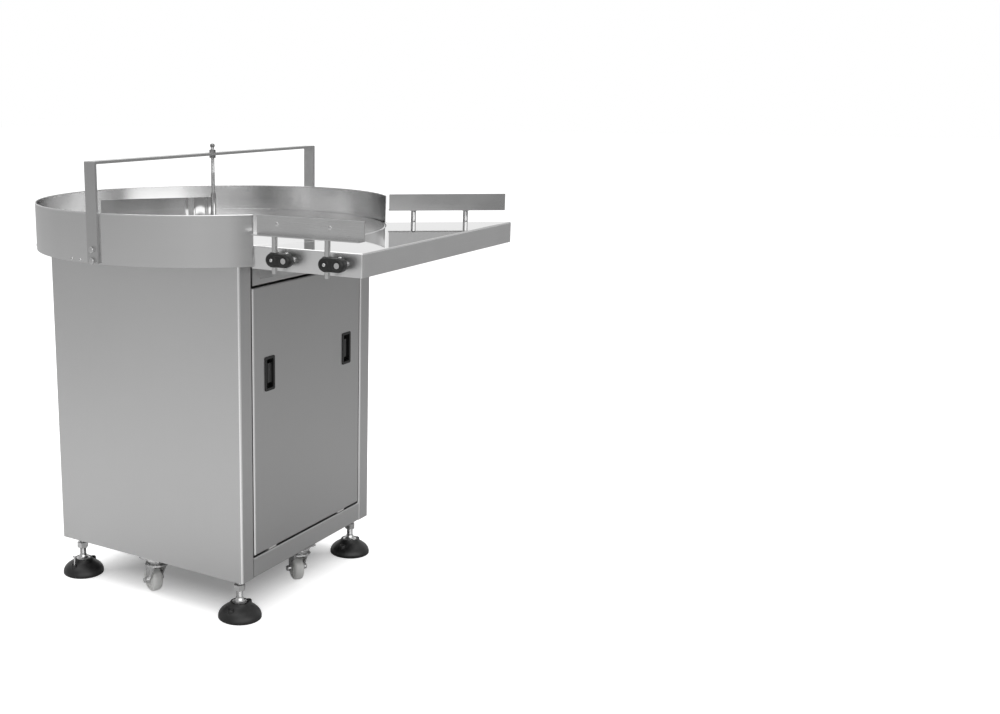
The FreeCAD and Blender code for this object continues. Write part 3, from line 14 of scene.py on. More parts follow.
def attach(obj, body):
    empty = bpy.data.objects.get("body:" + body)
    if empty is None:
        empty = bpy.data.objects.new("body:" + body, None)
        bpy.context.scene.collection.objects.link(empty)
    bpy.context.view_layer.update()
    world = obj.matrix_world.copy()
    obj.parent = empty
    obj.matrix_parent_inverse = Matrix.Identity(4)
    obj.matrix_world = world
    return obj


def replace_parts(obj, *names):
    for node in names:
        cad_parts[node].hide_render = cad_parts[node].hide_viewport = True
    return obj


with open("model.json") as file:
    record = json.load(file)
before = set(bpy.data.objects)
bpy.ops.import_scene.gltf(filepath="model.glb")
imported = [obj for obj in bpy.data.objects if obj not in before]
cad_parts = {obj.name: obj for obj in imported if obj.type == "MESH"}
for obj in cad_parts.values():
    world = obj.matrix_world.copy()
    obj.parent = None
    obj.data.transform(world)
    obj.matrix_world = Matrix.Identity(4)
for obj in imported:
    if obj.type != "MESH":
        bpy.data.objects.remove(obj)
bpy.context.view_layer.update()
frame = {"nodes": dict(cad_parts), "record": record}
nodes = frame["nodes"]
scene = bpy.context.scene

MM = 0.001
TURN = 2 * math.pi


# Materials

# Noise stays mostly between the first two values, and a tint runs from dark to light between the others.
NOISE_LOW, NOISE_HIGH = 0.25, 0.75
TINT_DARK, TINT_LIGHT = 0.3, 0.7

# The finish of metal has this share of grain, and clouding as the rest.
GRAIN_SHARE = 0.55

# A face begins to look up, and wholly looks up, at these heights of its normal.
UP_START, UP_END = 0.3, 0.7

# Scale of the slow changes in the gloss of plastic.
SLOW_SCALE = 35


class Tree:
    """A node tree that is written one node at a time."""

    def __init__(self, owner):
        owner.use_nodes = True
        self.tree = owner.node_tree
        self.tree.nodes.clear()

    def add(self, kind, settings=None, **sockets):
        """A shader node with its sockets fed. An underscore in a socket's name stands for a space."""
        node = self.tree.nodes.new("ShaderNode" + kind)
        for name, value in (settings or {}).items():
            setattr(node, name, value)
        for name, value in sockets.items():
            self.feed(node, name.replace("_", " "), value)
        return node

    def feed(self, node, socket, value):
        """Link another node's result to a socket, or set the socket's own value."""
        target = node.inputs[socket]
        if isinstance(value, bpy.types.NodeSocket):
            self.tree.links.new(value, target)
        else:
            target.default_value = value

    def math(self, operation, first, second=0.0):
        """The result of a sum on one or two values."""
        node = self.tree.nodes.new("ShaderNodeMath")
        node.operation = operation
        self.feed(node, 0, first)
        self.feed(node, 1, second)
        return node.outputs[0]

    def noise(self, stretch, detail):
        """Noise over the object's own coordinates, in metres, stretched by one scale for each axis."""
        place = self.add("TexCoord").outputs["Object"]
        scaled = self.add("Mapping", Vector=place, Scale=stretch).outputs["Vector"]
        node = self.add("TexNoise", Vector=scaled, Scale=1.0, Detail=detail)
        return node.outputs["Fac"]

    def span(self, value, low, high):
        """Spread a noise value between low and high."""
        node = self.add("MapRange", Value=value)
        self.feed(node, "From Min", NOISE_LOW)
        self.feed(node, "From Max", NOISE_HIGH)
        self.feed(node, "To Min", low)
        self.feed(node, "To Max", high)
        return node.outputs["Result"]

    def ramp(self, value, start, end, low=0.0, high=1.0):
        """A smooth step from low to high while the value runs from start to end."""
        node = self.add("MapRange", {"interpolation_type": "SMOOTHSTEP"}, Value=value)
        self.feed(node, "From Min", start)
        self.feed(node, "From Max", end)
        self.feed(node, "To Min", low)
        self.feed(node, "To Max", high)
        return node.outputs["Result"]

    def tint(self, value, dark, light):
        """A colour between dark and light by a noise value."""
        node = self.add("ValToRGB", Fac=value)
        first, last = node.color_ramp.elements
        first.position = TINT_DARK
        first.color = (*dark, 1)
        last.position = TINT_LIGHT
        last.color = (*light, 1)
        return node.outputs["Color"]

    def dot(self, vector, direction):
        """How far a vector reaches along a direction."""
        node = self.add("VectorMath", {"operation": "DOT_PRODUCT"})
        self.feed(node, 0, vector)
        self.feed(node, 1, direction)
        return node.outputs["Value"]

    def bump(self, height, distance, below=None):
        """A raised texture whose depth is in millimetres, on top of another one if that is given."""
        node = self.add("Bump", Height=height, Distance=distance * MM)
        if below:
            self.feed(node, "Normal", below)
        return node.outputs["Normal"]

    def surface(self, shader):
        """End the material in a shader."""
        self.add("OutputMaterial", Surface=shader)


def greys(level, spread):
    """A dark and a light neutral grey round a level."""
    return [(level * factor,) * 3 for factor in (1 - spread, 1 + spread)]


def metal(name, level, roughness, grain, spread=0.03, rough_spread=0.05, depth=0.004, cloud=(3, 3, 2),
          waves=None, top=None):
    """Bare metal: fine brushed grain, slow clouding of the finish, and waves in thin sheet.

    Grain and cloud are scales of noise along the three axes. Waves is such a scale with a height in
    millimetres, and top has the factors for the level and the roughness of faces that look up.
    """
    material = bpy.data.materials.new(name)
    tree = Tree(material)
    lines = tree.noise(grain, detail=4.0)
    clouds = tree.noise(cloud, detail=2.0)
    mixed = tree.math("ADD", tree.math("MULTIPLY", lines, GRAIN_SHARE),
                      tree.math("MULTIPLY", clouds, 1 - GRAIN_SHARE))
    shader = tree.add("BsdfPrincipled", Metallic=1.0)
    colour = tree.tint(mixed, *greys(level, spread))
    rough = tree.span(mixed, roughness - rough_spread, roughness + rough_spread)
    if top:
        top_level, top_roughness = top
        normal = tree.add("TexCoord").outputs["Normal"]
        upwards = tree.add("SeparateXYZ", Vector=normal).outputs["Z"]
        factor = tree.ramp(upwards, UP_START, UP_END, 1.0, top_level)
        scaled = tree.add("VectorMath", {"operation": "SCALE"}, Scale=factor)
        tree.feed(scaled, 0, colour)
        colour = scaled.outputs["Vector"]
        rough = tree.math("MULTIPLY", rough, tree.ramp(upwards, UP_START, UP_END, 1.0, top_roughness))
    tree.feed(shader, "Base Color", colour)
    tree.feed(shader, "Roughness", rough)
    wavy = None
    if waves:
        stretch, height = waves
        wavy = tree.bump(tree.noise(stretch, detail=1.0), height)
    tree.feed(shader, "Normal", tree.bump(lines, depth, wavy))
    tree.surface(shader.outputs["BSDF"])
    return material


def plastic(name, level, roughness, grain=900, depth=0.02, spread=0.15, rough_spread=0.07, warm=1.0):
    """Moulded plastic or paint: a fine texture with slow changes of gloss. Warm is a factor on its blue."""
    material = bpy.data.materials.new(name)
    tree = Tree(material)
    fine = tree.noise((grain,) * 3, detail=3.0)
    slow = tree.noise((SLOW_SCALE,) * 3, detail=3.0)
    dark, light = greys(level, spread)
    dark = (dark[0], dark[1], dark[2] * warm)
    light = (light[0], light[1], light[2] * warm)
    shader = tree.add("BsdfPrincipled")
    tree.feed(shader, "Base Color", tree.tint(slow, dark, light))
    tree.feed(shader, "Roughness", tree.span(slow, roughness - rough_spread, roughness + rough_spread))
    tree.feed(shader, "Normal", tree.bump(fine, depth))
    tree.surface(shader.outputs["BSDF"])
    return material


panel_steel = metal("panel_steel", 0.56, 0.34, (2600, 2600, 6), depth=0.002)
# The door is the same sheet steel as the walls; its lower level is painted shade for its darker front face.
door_shaded_steel = metal("door_shaded_steel", 0.53, 0.34, (2600, 2600, 6), depth=0.002)
band_steel = metal("band_steel", 0.66, 0.2, (6, 6, 1800), spread=0.05, depth=0.001, cloud=(10, 10, 0.4),
                   waves=((11, 11, 0.5), 0.5))
shelf_steel = metal("shelf_steel", 0.76, 0.36, (6, 2200, 2200), spread=0.04, depth=0.0004, cloud=(7, 7, 7),
                    top=(0.8, 0.09))
disc_steel = metal("disc_steel", 0.68, 0.06, (40, 1900, 900), spread=0.03, rough_spread=0.02,
                   depth=0.0004, cloud=(6, 6, 6))
bar_steel = metal("bar_steel", 0.5, 0.32, (1500, 40, 1500), spread=0.05)
plate_steel = metal("plate_steel", 0.46, 0.36, (8, 1800, 1800))
mirror_steel = metal("mirror_steel", 0.66, 0.06, (900, 900, 20), spread=0.02, rough_spread=0.02,
                     depth=0.001, waves=((20, 20, 0.5), 2.5))
guide_steel = metal("guide_steel", 0.6, 0.26, (1800, 12, 1800), spread=0.08, cloud=(22, 14, 22))
# The far guide is the same stainless strip as the near one; its much lower level is painted shade.
far_guide_shade_steel = metal("far_guide_shade_steel", 0.3, 0.3, (1800, 12, 1800), spread=0.06, cloud=(22, 14, 22))
turned_steel = metal("turned_steel", 0.6, 0.2, (30, 30, 3000), spread=0.04)
bolt_steel = metal("bolt_steel", 0.6, 0.24, (700, 700, 700), spread=0.08)
# A near-white, glossy steel for the painted highlight along the bends.
bend_highlight_steel = metal("bend_highlight_steel", 0.97, 0.14, (30, 30, 3), spread=0.03)
dark_steel = metal("dark_steel", 0.2, 0.35, (700, 700, 700), spread=0.08)
zinc_steel = metal("zinc_steel", 0.66, 0.28, (160, 160, 160), spread=0.1, depth=0.01, cloud=(60, 60, 60))
cast_grey = metal("cast_grey", 0.5, 0.5, (420, 420, 420), spread=0.08, depth=0.12)
iron_paint = plastic("iron_paint", 0.16, 0.45, grain=500, depth=0.12)
motor_grey = plastic("motor_grey", 0.24, 0.38, grain=600, depth=0.05, spread=0.05)
control_grey = plastic("control_grey", 0.22, 0.45, spread=0.05)
nylon_white = plastic("nylon_white", 0.86, 0.4, grain=500, depth=0.03, spread=0.03, warm=0.98)
foot_black = plastic("foot_black", 0.016, 0.42, grain=650, depth=0.05)
clamp_black = plastic("clamp_black", 0.008, 0.42, grain=800, depth=0.03)
latch_black = plastic("latch_black", 0.009, 0.48, grain=900, depth=0.02)
thumb_grey = plastic("thumb_grey", 0.03, 0.4, grain=900, depth=0.02)
dial_black = plastic("dial_black", 0.03, 0.4)

FINISH = {
    "sheet_steel": panel_steel, "structure_steel": plate_steel, "polished_steel": mirror_steel,
    "machined_steel": turned_steel, "fastener_steel": bolt_steel, "zinc_plate": zinc_steel,
    "wheel_nylon": nylon_white, "foot_plastic": foot_black, "clamp_plastic": clamp_black,
    "latch_black": latch_black, "latch_thumb": thumb_grey, "drive_casting": cast_grey,
    "bearing_iron": iron_paint, "motor_paint": motor_grey, "control_plastic": control_grey,
    "dial_plastic": dial_black,
}
OWN_FINISH = {
    "door_panel": door_shaded_steel, "band_back": band_steel, "band_front_left": band_steel,
    "band_front_right": band_steel, "outfeed_shelf": shelf_steel, "turntable_disc": disc_steel,
    "bridge_bar": bar_steel, "near_guide": guide_steel, "far_guide": far_guide_shade_steel, "rod_nuts": dark_steel,
}


# Mesh helpers, in millimetres

# Edges that turn by more than this many degrees stay sharp.
SHARP_ANGLE = 35


def aim(point, direction):
    """A placement that takes +Z to a direction at a point."""
    turn = Vector(direction).to_track_quat("Z", "Y").to_matrix().to_4x4()
    return Matrix.Translation(Vector(point)) @ turn


def upright(x, y, z=0, turn=0.0):
    """A placement at a point, turned round Z by an angle in degrees."""
    return Matrix.Translation(Vector((x, y, z))) @ Matrix.Rotation(math.radians(turn), 4, "Z")


def lathe(bm, profile, steps=48, place=Matrix()):
    """Turn a list of (radius, height) round Z, from its first end to its last. Radius 0 is one point."""
    rings = []
    for radius, height in profile:
        count = steps if radius > 0 else 1
        ring = []
        for step in range(count):
            angle = TURN * (step + 0.5) / count
            spot = Vector((radius * math.cos(angle), radius * math.sin(angle), height))
            ring.append(bm.verts.new(place @ spot))
        rings.append(ring)
    for lower, upper in zip(rings, rings[1:]):
        for step in range(steps):
            after = (step + 1) % steps
            corners = [lower[step % len(lower)], lower[after % len(lower)],
                       upper[after % len(upper)], upper[step % len(upper)]]
            corners = list(dict.fromkeys(corners))
            if len(corners) > 2:
                bm.faces.new(corners)


def block(bm, size, centre, bevel, place=Matrix()):
    """A block with rounded edges."""
    made = bmesh.ops.create_cube(bm, size=1.0)
    move = place @ Matrix.Translation(Vector(centre)) @ Matrix.Diagonal((*size, 1))
    bmesh.ops.transform(bm, matrix=move, verts=made["verts"])
    edges = list(dict.fromkeys(edge for vert in made["verts"] for edge in vert.link_edges))
    bmesh.ops.bevel(bm, geom=edges, offset=bevel, segments=3, affect="EDGES", profile=0.5)


def thread(bm, radius, depth, pitch, low, high, steps=24, place=Matrix()):
    """A screw thread as one wound surface, closed at both ends."""
    rows_per_turn = 4
    rows = int((high - low) / pitch * rows_per_turn)
    rings = []
    for row in range(rows + 1):
        height = low + (high - low) * row / rows
        ring = []
        for step in range(steps):
            phase = ((height - low) / pitch - step / steps) % 1.0
            crest = abs(2 * phase - 1)
            size = radius - depth * crest
            if row in (0, rows):
                size = radius - depth
            angle = TURN * step / steps
            spot = Vector((size * math.cos(angle), size * math.sin(angle), height))
            ring.append(bm.verts.new(place @ spot))
        rings.append(ring)
    for lower, upper in zip(rings, rings[1:]):
        for step in range(steps):
            after = (step + 1) % steps
            bm.faces.new([lower[step], lower[after], upper[after], upper[step]])
    bm.faces.new(rings[-1])
    bm.faces.new(rings[0][::-1])


def hexagon(bm, flats, low, high, place=Matrix(), chamfer=0.8):
    """A hexagonal head or nut with a chamfered top and bottom."""
    corner = flats / math.sqrt(3)
    face = flats / 2 * 0.95
    profile = [(0, low), (face, low), (corner, low + chamfer), (corner, high - chamfer), (face, high),
               (0, high)]
    lathe(bm, profile, steps=6, place=place)


def washer(bm, outer, height, place=Matrix()):
    """A round washer with its upper edge broken."""
    edge = 0.2
    profile = [(0, 0), (outer, 0), (outer, height - edge), (outer - edge, height), (0, height)]
    lathe(bm, profile, steps=32, place=place)


def button_screw(bm, radius, height, place=Matrix()):
    """A domed screw head with a round socket."""
    socket = radius * 0.42
    depth = height * 0.35
    profile = [(0, depth), (socket, depth), (socket, height), (radius * 0.6, height * 0.97),
               (radius * 0.88, height * 0.7), (radius, height * 0.3), (radius, 0), (0, 0)]
    lathe(bm, profile, steps=24, place=place)


def hex_screw(bm, flats, height, place=Matrix()):
    """A washer with a hexagonal head on it."""
    washer_height = 1.2
    washer(bm, flats * 0.95, washer_height, place)
    hexagon(bm, flats, washer_height, washer_height + height, place)


def piece(name, bm, slot, body, material=None):
    """Make an object from a mesh in millimetres, which rides on a body."""
    bmesh.ops.recalc_face_normals(bm, faces=bm.faces)
    bmesh.ops.transform(bm, matrix=Matrix.Scale(MM, 4), verts=bm.verts)
    mesh = bpy.data.meshes.new(name)
    bm.to_mesh(mesh)
    bm.free()
    mesh.shade_smooth()
    mesh.set_sharp_from_angle(angle=math.radians(SHARP_ANGLE))
    mesh.materials.append(material or FINISH[slot])
    item = bpy.data.objects.new(name, mesh)
    scene.collection.objects.link(item)
    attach(item, body)
    return item


# Finishes of the CAD nodes

for entry in frame["record"]["subparts"]:
    node = nodes[entry["node"]]
    node.data.materials.clear()
    node.data.materials.append(OWN_FINISH.get(entry["node"], FINISH[entry["material_slot"]]))


# CAD nodes whose sharp edges are rounded, with the width of the rounding.
SOFT_EDGES = {
    "band_back": 0.9, "band_front_left": 0.9, "band_front_right": 0.9, "bridge_bar": 2.0,
    "near_guide": 0.7, "far_guide": 0.7, "outfeed_shelf": 2.5,
}
SOFT_ANGLE = 60


def soften(name, width):
    """Round the sharp edges of a CAD node, so that they catch the light."""
    bevel = nodes[name].modifiers.new("soft_edges", "BEVEL")
    bevel.width = width * MM
    bevel.segments = 3
    bevel.limit_method = "ANGLE"
    bevel.angle_limit = math.radians(SOFT_ANGLE)


for name, width in SOFT_EDGES.items():
    soften(name, width)


# Levelling feet

# Where each foot stands, and how far its two lugs lie from its middle.
FEET = {1: (-242, -242), 2: (242, -242), 3: (242, 242), 4: (-242, 242)}
LUG_REACH = 34


def foot_base(number):
    """The moulded base: a domed skirt, the open collar round the ball cup, and two anchor lugs."""
    bm = bmesh.new()
    spot = upright(*FEET[number])
    skirt = [(0, 0), (48.5, 0), (50, 1.2), (50.1, 6), (49.4, 9.5), (47.6, 13.6), (44.8, 17.6), (41, 21.2),
             (36.5, 24.6), (31.5, 27.8), (27, 30.8), (24, 33.6), (22.6, 36), (21.6, 37.6), (20.4, 38),
             (19.2, 37.6), (18.6, 36), (18.2, 30), (17.6, 22), (15.6, 18), (0, 18)]
    lathe(bm, skirt, steps=72, place=spot)
    for side in (-1, 1):
        lug = spot @ upright(side * LUG_REACH, 0)
        boss = [(4.5, 8), (4.5, 28.6), (5, 29.6), (6.2, 30), (7.2, 29.4), (7.6, 28), (8.2, 20), (9, 8)]
        lathe(bm, boss, steps=32, place=lug)
        lathe(bm, [(4.5, 8), (0, 8)], steps=32, place=lug)
    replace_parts(piece("foot_shell_%d" % number, bm, "foot_plastic", "foot_%d" % number),
                "foot_base_%d" % number)


def foot_spindle(number):
    """The polished ball cup, the threaded spindle and its lock nut."""
    bm = bmesh.new()
    spot = upright(*FEET[number])
    cup = [(0, 18), (9, 18), (12.6, 20.4), (15.4, 25), (16.8, 31), (17.4, 36.4), (17.2, 37.8), (15.4, 38.8),
           (12.6, 40.2), (10.4, 42.6), (9.4, 45.4), (9, 47.4), (8, 48.4), (0, 48.4)]
    lathe(bm, cup, steps=64, place=spot)
    thread(bm, 8, 0.7, 2.0, 50, 174, place=spot)
    lathe(bm, [(0, 47), (7.3, 47), (7.3, 51), (0, 51)], steps=32, place=spot)
    lathe(bm, [(0, 173), (7.3, 173), (6.6, 175), (0, 175)], steps=32, place=spot)
    hexagon(bm, 24, 65, 81, place=spot, chamfer=1.6)
    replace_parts(piece("foot_stem_%d" % number, bm, "fastener_steel", "foot_%d" % number),
                "foot_spindle_%d" % number)


def anchor_screw():
    """The loose anchor screw that stands in the outer lug of the rear left foot."""
    bm = bmesh.new()
    x, y = FEET[4]
    lug = upright(x - LUG_REACH, y, 9)
    lean = lug @ Matrix.Rotation(math.radians(5), 4, "Y")
    thread(bm, 2.3, 0.45, 1.6, 0, 38, steps=16, place=lean)
    lathe(bm, [(0, 38), (2.2, 38), (4.6, 39.4), (5, 40.6), (4.2, 42), (0, 42.6)], steps=24, place=lean)
    piece("anchor_screw", bm, "fastener_steel", "foot_4")


for number in FEET:
    foot_base(number)
    foot_spindle(number)
anchor_screw()


# Painted highlights on the bends

# Corner, lower and upper end, and radius of each outside bend: both walls and the shelf, then the door.
BENDS = {
    "cabinet": ((-275, -275, 97.2, 831.8, 3.5),
                (230.5, -275, 97.2, 831.8, 3.5),
                (-275, -577, 811.2, 857.5, 2.5)),
    "door": ((-226, -275, 151, 756, 3.5),),
}

# How far the painted highlight strip stands in front of the sheet.
BEND_PROUD = 0.06


def bend_highlight_strips(body):
    """A near-white glossy strip over the outside of the vertical bends that face the left front: a painted
    highlight.
    """
    bm = bmesh.new()
    for x, y, low, high, radius in BENDS[body]:
        size = radius + BEND_PROUD
        lathe(bm, [(0, low), (size, low), (size, high), (0, high)], place=upright(x + radius, y + radius))
    piece("bend_highlight_strips_" + body, bm, "sheet_steel", body, material=bend_highlight_steel)


for body in BENDS:
    bend_highlight_strips(body)


# Swivel casters

# Swivel axis of each caster, and the direction from it to the wheel in degrees. Then how far the wheel
# trails and its level, the outside of the fork's cheeks, and the underside of the plate.
CASTERS = {"left": (-244, 0, 68), "front": (0, -244, 52), "right": (244, 0, 247), "rear": (0, 244, 232)}
TRAIL = 20
WHEEL_LEVEL = 32
CHEEK_OUTSIDE = 17
PLATE_UNDERSIDE = 94


def caster(name):
    """The wheel's finer form, the ends of the axle bolt, the plate's screws and the rolled rims."""
    x, y, heading = CASTERS[name]
    swivel = upright(x, y, turn=heading)
    across = swivel @ upright(TRAIL, 0, WHEEL_LEVEL) @ Matrix.Rotation(math.radians(90), 4, "X")

    bm = bmesh.new()
    half = [(30, 0), (29.9, 5), (29.2, 8), (27.8, 10.2), (25.6, 11.6), (23.4, 12), (22.4, 11.2), (21.6, 9),
            (13.8, 9), (12.8, 9.8), (12.2, 11.4), (11.4, 12), (4.3, 12)]
    other = [(radius, -height) for radius, height in half[:0:-1]]
    lathe(bm, half + other + half[:1], steps=64, place=across)
    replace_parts(piece("wheel_%s_tread" % name, bm, "wheel_nylon", "wheel_" + name), "caster_wheel_" + name)

    bm = bmesh.new()
    for side in (-1, 1):
        end = across @ aim((0, 0, side * CHEEK_OUTSIDE), (0, 0, side))
        lathe(bm, [(0, 0), (8.4, 0), (8.4, 1.2), (7.9, 1.6), (0, 1.6)], steps=32, place=end)
        hexagon(bm, 12, 1.6, 8.6, end, chamfer=1.2)
    rim = [(24, 79), (26.8, 79), (27.9, 78.3), (28.2, 77.2), (27.9, 76.1), (26.8, 75.4), (24, 75.4)]
    lathe(bm, rim, steps=64, place=upright(x, y))
    piece("fork_rim_" + name, bm, "zinc_plate", "fork_" + name)

    bm = bmesh.new()
    for side_x in (-1, 1):
        for side_y in (-1, 1):
            spot = (x + side_x * 24, y + side_y * 24, PLATE_UNDERSIDE)
            hex_screw(bm, 8, 2.6, aim(spot, (0, 0, -1)))
    piece("caster_screws_" + name, bm, "fastener_steel", "cabinet")

    bm = bmesh.new()
    bead = [(22, 94.2), (25.4, 94), (26.2, 92.6), (26.3, 88), (25.6, 86), (24, 84.8), (22, 84.4)]
    lathe(bm, bead, steps=64, place=upright(x, y))
    piece("raceway_" + name, bm, "zinc_plate", "cabinet")


for name in CASTERS:
    caster(name)


# Guard band

# First and last direction of each stretch of the band, in degrees: back, front left and front right.
BAND = ((3.0, 177.0), (177.0, 228.7), (-49.8, 3.0))
BAND_RADIUS = 420

# Directions of the band's brackets, each with two screws, and the level of those screws.
BRACKETS = (8, 50, 90, 130, 172, 331)
SCREW_LEVEL = 820.5
SCREW_OFFSET = 1.9

# The roll along the band's upper edge: the circle it follows, its size, its corners, and the gap that it
# leaves at each end in degrees.
ROLL_RADIUS = 419
ROLL_LEVEL = 923
ROLL_SIZE = 1.5
ROLL_CORNERS = 12
ROLL_GAP = 0.15


def on_band(angle, level, radius=BAND_RADIUS):
    """A placement on the band's outside that points outwards, from a direction in degrees and a height."""
    turn = math.radians(angle)
    outwards = (math.cos(turn), math.sin(turn), 0)
    return aim((radius * outwards[0], radius * outwards[1], level), outwards)


def band_screws():
    """Button screws that hold the band to its brackets, and the screw at its right end."""
    bm = bmesh.new()
    for angle in BRACKETS:
        for offset in (-SCREW_OFFSET, SCREW_OFFSET):
            button_screw(bm, 3.4, 1.8, on_band(angle + offset, SCREW_LEVEL))
    lathe(bm, [(0, 0), (4.6, 0), (4.6, 3.2), (4, 4.4), (2.2, 4.4), (2.2, 3), (0, 3)], steps=24,
          place=on_band(-48.5, 855, 419.5))
    piece("band_screws", bm, "fastener_steel", "cabinet")


band_screws()


def band_rim():
    """The rolled upper edge of the band, which catches the light."""
    bm = bmesh.new()
    for low, high in BAND:
        steps = int(high - low)
        rings = []
        for step in range(steps + 1):
            turn = math.radians(low + ROLL_GAP + (high - low - 2 * ROLL_GAP) * step / steps)
            ring = []
            for corner in range(ROLL_CORNERS):
                around = TURN * corner / ROLL_CORNERS
                radius = ROLL_RADIUS + ROLL_SIZE * math.cos(around)
                height = ROLL_LEVEL + ROLL_SIZE * math.sin(around)
                ring.append(bm.verts.new((radius * math.cos(turn), radius * math.sin(turn), height)))
            rings.append(ring)
        for first, second in zip(rings, rings[1:]):
            for corner in range(ROLL_CORNERS):
                after = (corner + 1) % ROLL_CORNERS
                bm.faces.new([first[corner], second[corner], second[after], first[after]])
        bm.faces.new(rings[0][::-1])
        bm.faces.new(rings[-1])
    piece("band_rim", bm, "sheet_steel", "cabinet", material=turned_steel)


band_rim()


# Bridge and deflector

# Levels of the bridge bolts, and how far their heads' faces and their ends lie from the turntable axis.
BOLT_LEVELS = (822, 846)
BOLT_HEAD = 431
BOLT_END = 414.5


def bridge_details():
    """Chamfered faces and ends of the bridge bolts, and the rod with its thread and its dark end."""
    bm = bmesh.new()
    for side in (-1, 1):
        for level in BOLT_LEVELS:
            lathe(bm, [(6.1, 0), (5.4, 0.6), (0, 0.8)], steps=24,
                  place=aim((side * BOLT_HEAD, 0, level), (side, 0, 0)))
            lathe(bm, [(0, 0), (3.4, 0), (3.4, 2.4), (2.6, 3), (0, 3)], steps=16,
                  place=aim((side * BOLT_END, 0, level), (-side, 0, 0)))
    piece("bridge_bolt_caps", bm, "fastener_steel", "cabinet")

    bm = bmesh.new()
    lathe(bm, [(0, 868), (3.6, 868), (4.5, 869), (4.5, 985), (0, 985)], steps=32)
    thread(bm, 4.5, 0.6, 1.25, 984, 1048)
    lathe(bm, [(0, 1047), (3.9, 1047), (3.2, 1050), (0, 1050)], steps=24)
    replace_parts(piece("deflector_stud", bm, "machined_steel", "deflector_mast"), "deflector_rod")

    bm = bmesh.new()
    cap = [(0, 1044), (3.8, 1044), (5.4, 1046), (5.8, 1048.4), (5.2, 1051), (3.2, 1052.8), (0, 1053.4)]
    lathe(bm, cap, steps=24)
    piece("deflector_stud_cap", bm, "machined_steel", "deflector_mast", material=dark_steel)


bridge_details()


# Side guides with their cross clamps

# The slanted side of the shelf: its angle in degrees, its front corner, and its distance from the axis.
SLANT_DEGREES = 34
SLANT = math.radians(SLANT_DEGREES)
SHELF_CORNER_X = 438
SHELF_REACH = 577
EDGE_DISTANCE = SHELF_CORNER_X * math.cos(SLANT) - SHELF_REACH * math.sin(SLANT)
FAR_START = math.sqrt(BAND_RADIUS ** 2 - EDGE_DISTANCE ** 2) + 8

# Placement of each guide, the direction in which it runs along Y, and the place of its first rod.
GUIDES = {
    "near": (upright(-275, 0), -1, 382),
    "far": (upright(EDGE_DISTANCE * math.cos(SLANT), EDGE_DISTANCE * math.sin(SLANT),
                    turn=180 + SLANT_DEGREES), 1, FAR_START + 60),
}

# The vertical plane of the rods beside the guide, their distance, and the studs beside them.
ROD_PLANE = -21
ROD_PITCH = 127
STUD_OFFSET = 29

# The middle level of the clamps, how far a clamp's first lobe stands off its rod, and the profiles of the
# boss round the rod and of the lobes.
CLAMP_LEVEL = 837
LOBE_OFFSET = 1.5
CLAMP_BOSS = [(6.4, 822), (9, 822), (10.4, 822.8), (11.4, 825), (11.8, 829), (11.8, 845), (11.4, 849),
              (10.4, 851.2), (9, 852), (6.4, 852), (6.4, 822)]
CLAMP_LOBE = [(6.4, -10), (9, -10), (12, -8.6), (14, -6), (14.6, -2), (14.6, 7), (14, 10.4), (12.4, 12.8),
              (10, 14), (6.4, 14), (6.4, -10)]


def guide_details(name):
    """Moulded cross clamps with their screws, and the plug welds of the rods on the guide."""
    place, along, first = GUIDES[name]
    black = bmesh.new()
    bright = bmesh.new()
    welds = bmesh.new()
    outwards = (-1, 0, 0)
    for number in (0, 1):
        rod_y = along * (first + number * ROD_PITCH)
        stud_y = rod_y + along * STUD_OFFSET
        first_lobe = rod_y - along * LOBE_OFFSET
        lathe(black, CLAMP_BOSS, place=place @ upright(ROD_PLANE, rod_y))
        for lobe_y in (first_lobe, stud_y):
            lathe(black, CLAMP_LOBE, place=place @ aim((ROD_PLANE, lobe_y, CLAMP_LEVEL), outwards))
        lathe(black, [(0, 12.4), (6.8, 12.4), (6.8, 13.6), (0, 13.6)], steps=32,
              place=place @ aim((ROD_PLANE, first_lobe, CLAMP_LEVEL), outwards))
        block(black, (23, 22, 22), (-22.5, rod_y + along * 11, CLAMP_LEVEL), bevel=2, place=place)
        for level in (826.5, 847.5):
            block(black, (24, 30, 7), (-22.5, (rod_y + stud_y) / 2, level), bevel=3, place=place)
        button_screw(bright, 3.8, 1.8, place @ aim((-34.6, rod_y, CLAMP_LEVEL), outwards))
        button_screw(bright, 4, 2, place @ aim((ROD_PLANE, stud_y, 851.6), (0, 0, 1)))
        lathe(welds, [(4.2, 0), (3.8, 0.5), (2.2, 0.8), (0, 0.9)], steps=24,
              place=place @ aim((-18, rod_y + along * 3, 909), outwards))
        lathe(welds, [(8.6, 0), (7.4, 1.0), (6.1, 2.2), (6, 2.2)], steps=32,
              place=place @ aim((ROD_PLANE, rod_y, 886), (0, 0, -1)))
    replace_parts(piece(name + "_clamp_bodies", black, "clamp_plastic", name + "_carriage"), name + "_clamps")
    piece(name + "_clamp_screws", bright, "fastener_steel", name + "_carriage")
    piece(name + "_guide_welds", welds, "fastener_steel", name + "_fence")


for name in GUIDES:
    guide_details(name)


# Floor, lamp, surroundings and camera

# From here on, lengths are in metres, apart from the camera's sensor and lens.

# The plain level of the surroundings, and what metal also sees: the backdrop and a broad low light.
PLAIN = 0.5
SOFTBOX = 1.5
BACKDROP = (0.822, 0.57, 0.0)
CAMERA_SIDE = (-0.574, -0.819, 0.0)

# The low light fades in between these reaches towards the camera's side, and between these heights.
SOFTBOX_SIDE = (0.5, 0.85)
SOFTBOX_HEIGHT = (0.01, 0.06)

# The floor's own level, and how much it is lifted for the camera, from near the axis to further away. The
# smaller lift in a square round the axis is painted shade on top of the real shadow under the cabinet.
FLOOR_SIZE = 30
FLOOR_LEVEL = 0.8
FADE_START = 0.12
FADE_END = 0.32
LIFT_NEAR = 0.16
LIFT_FAR = 0.8

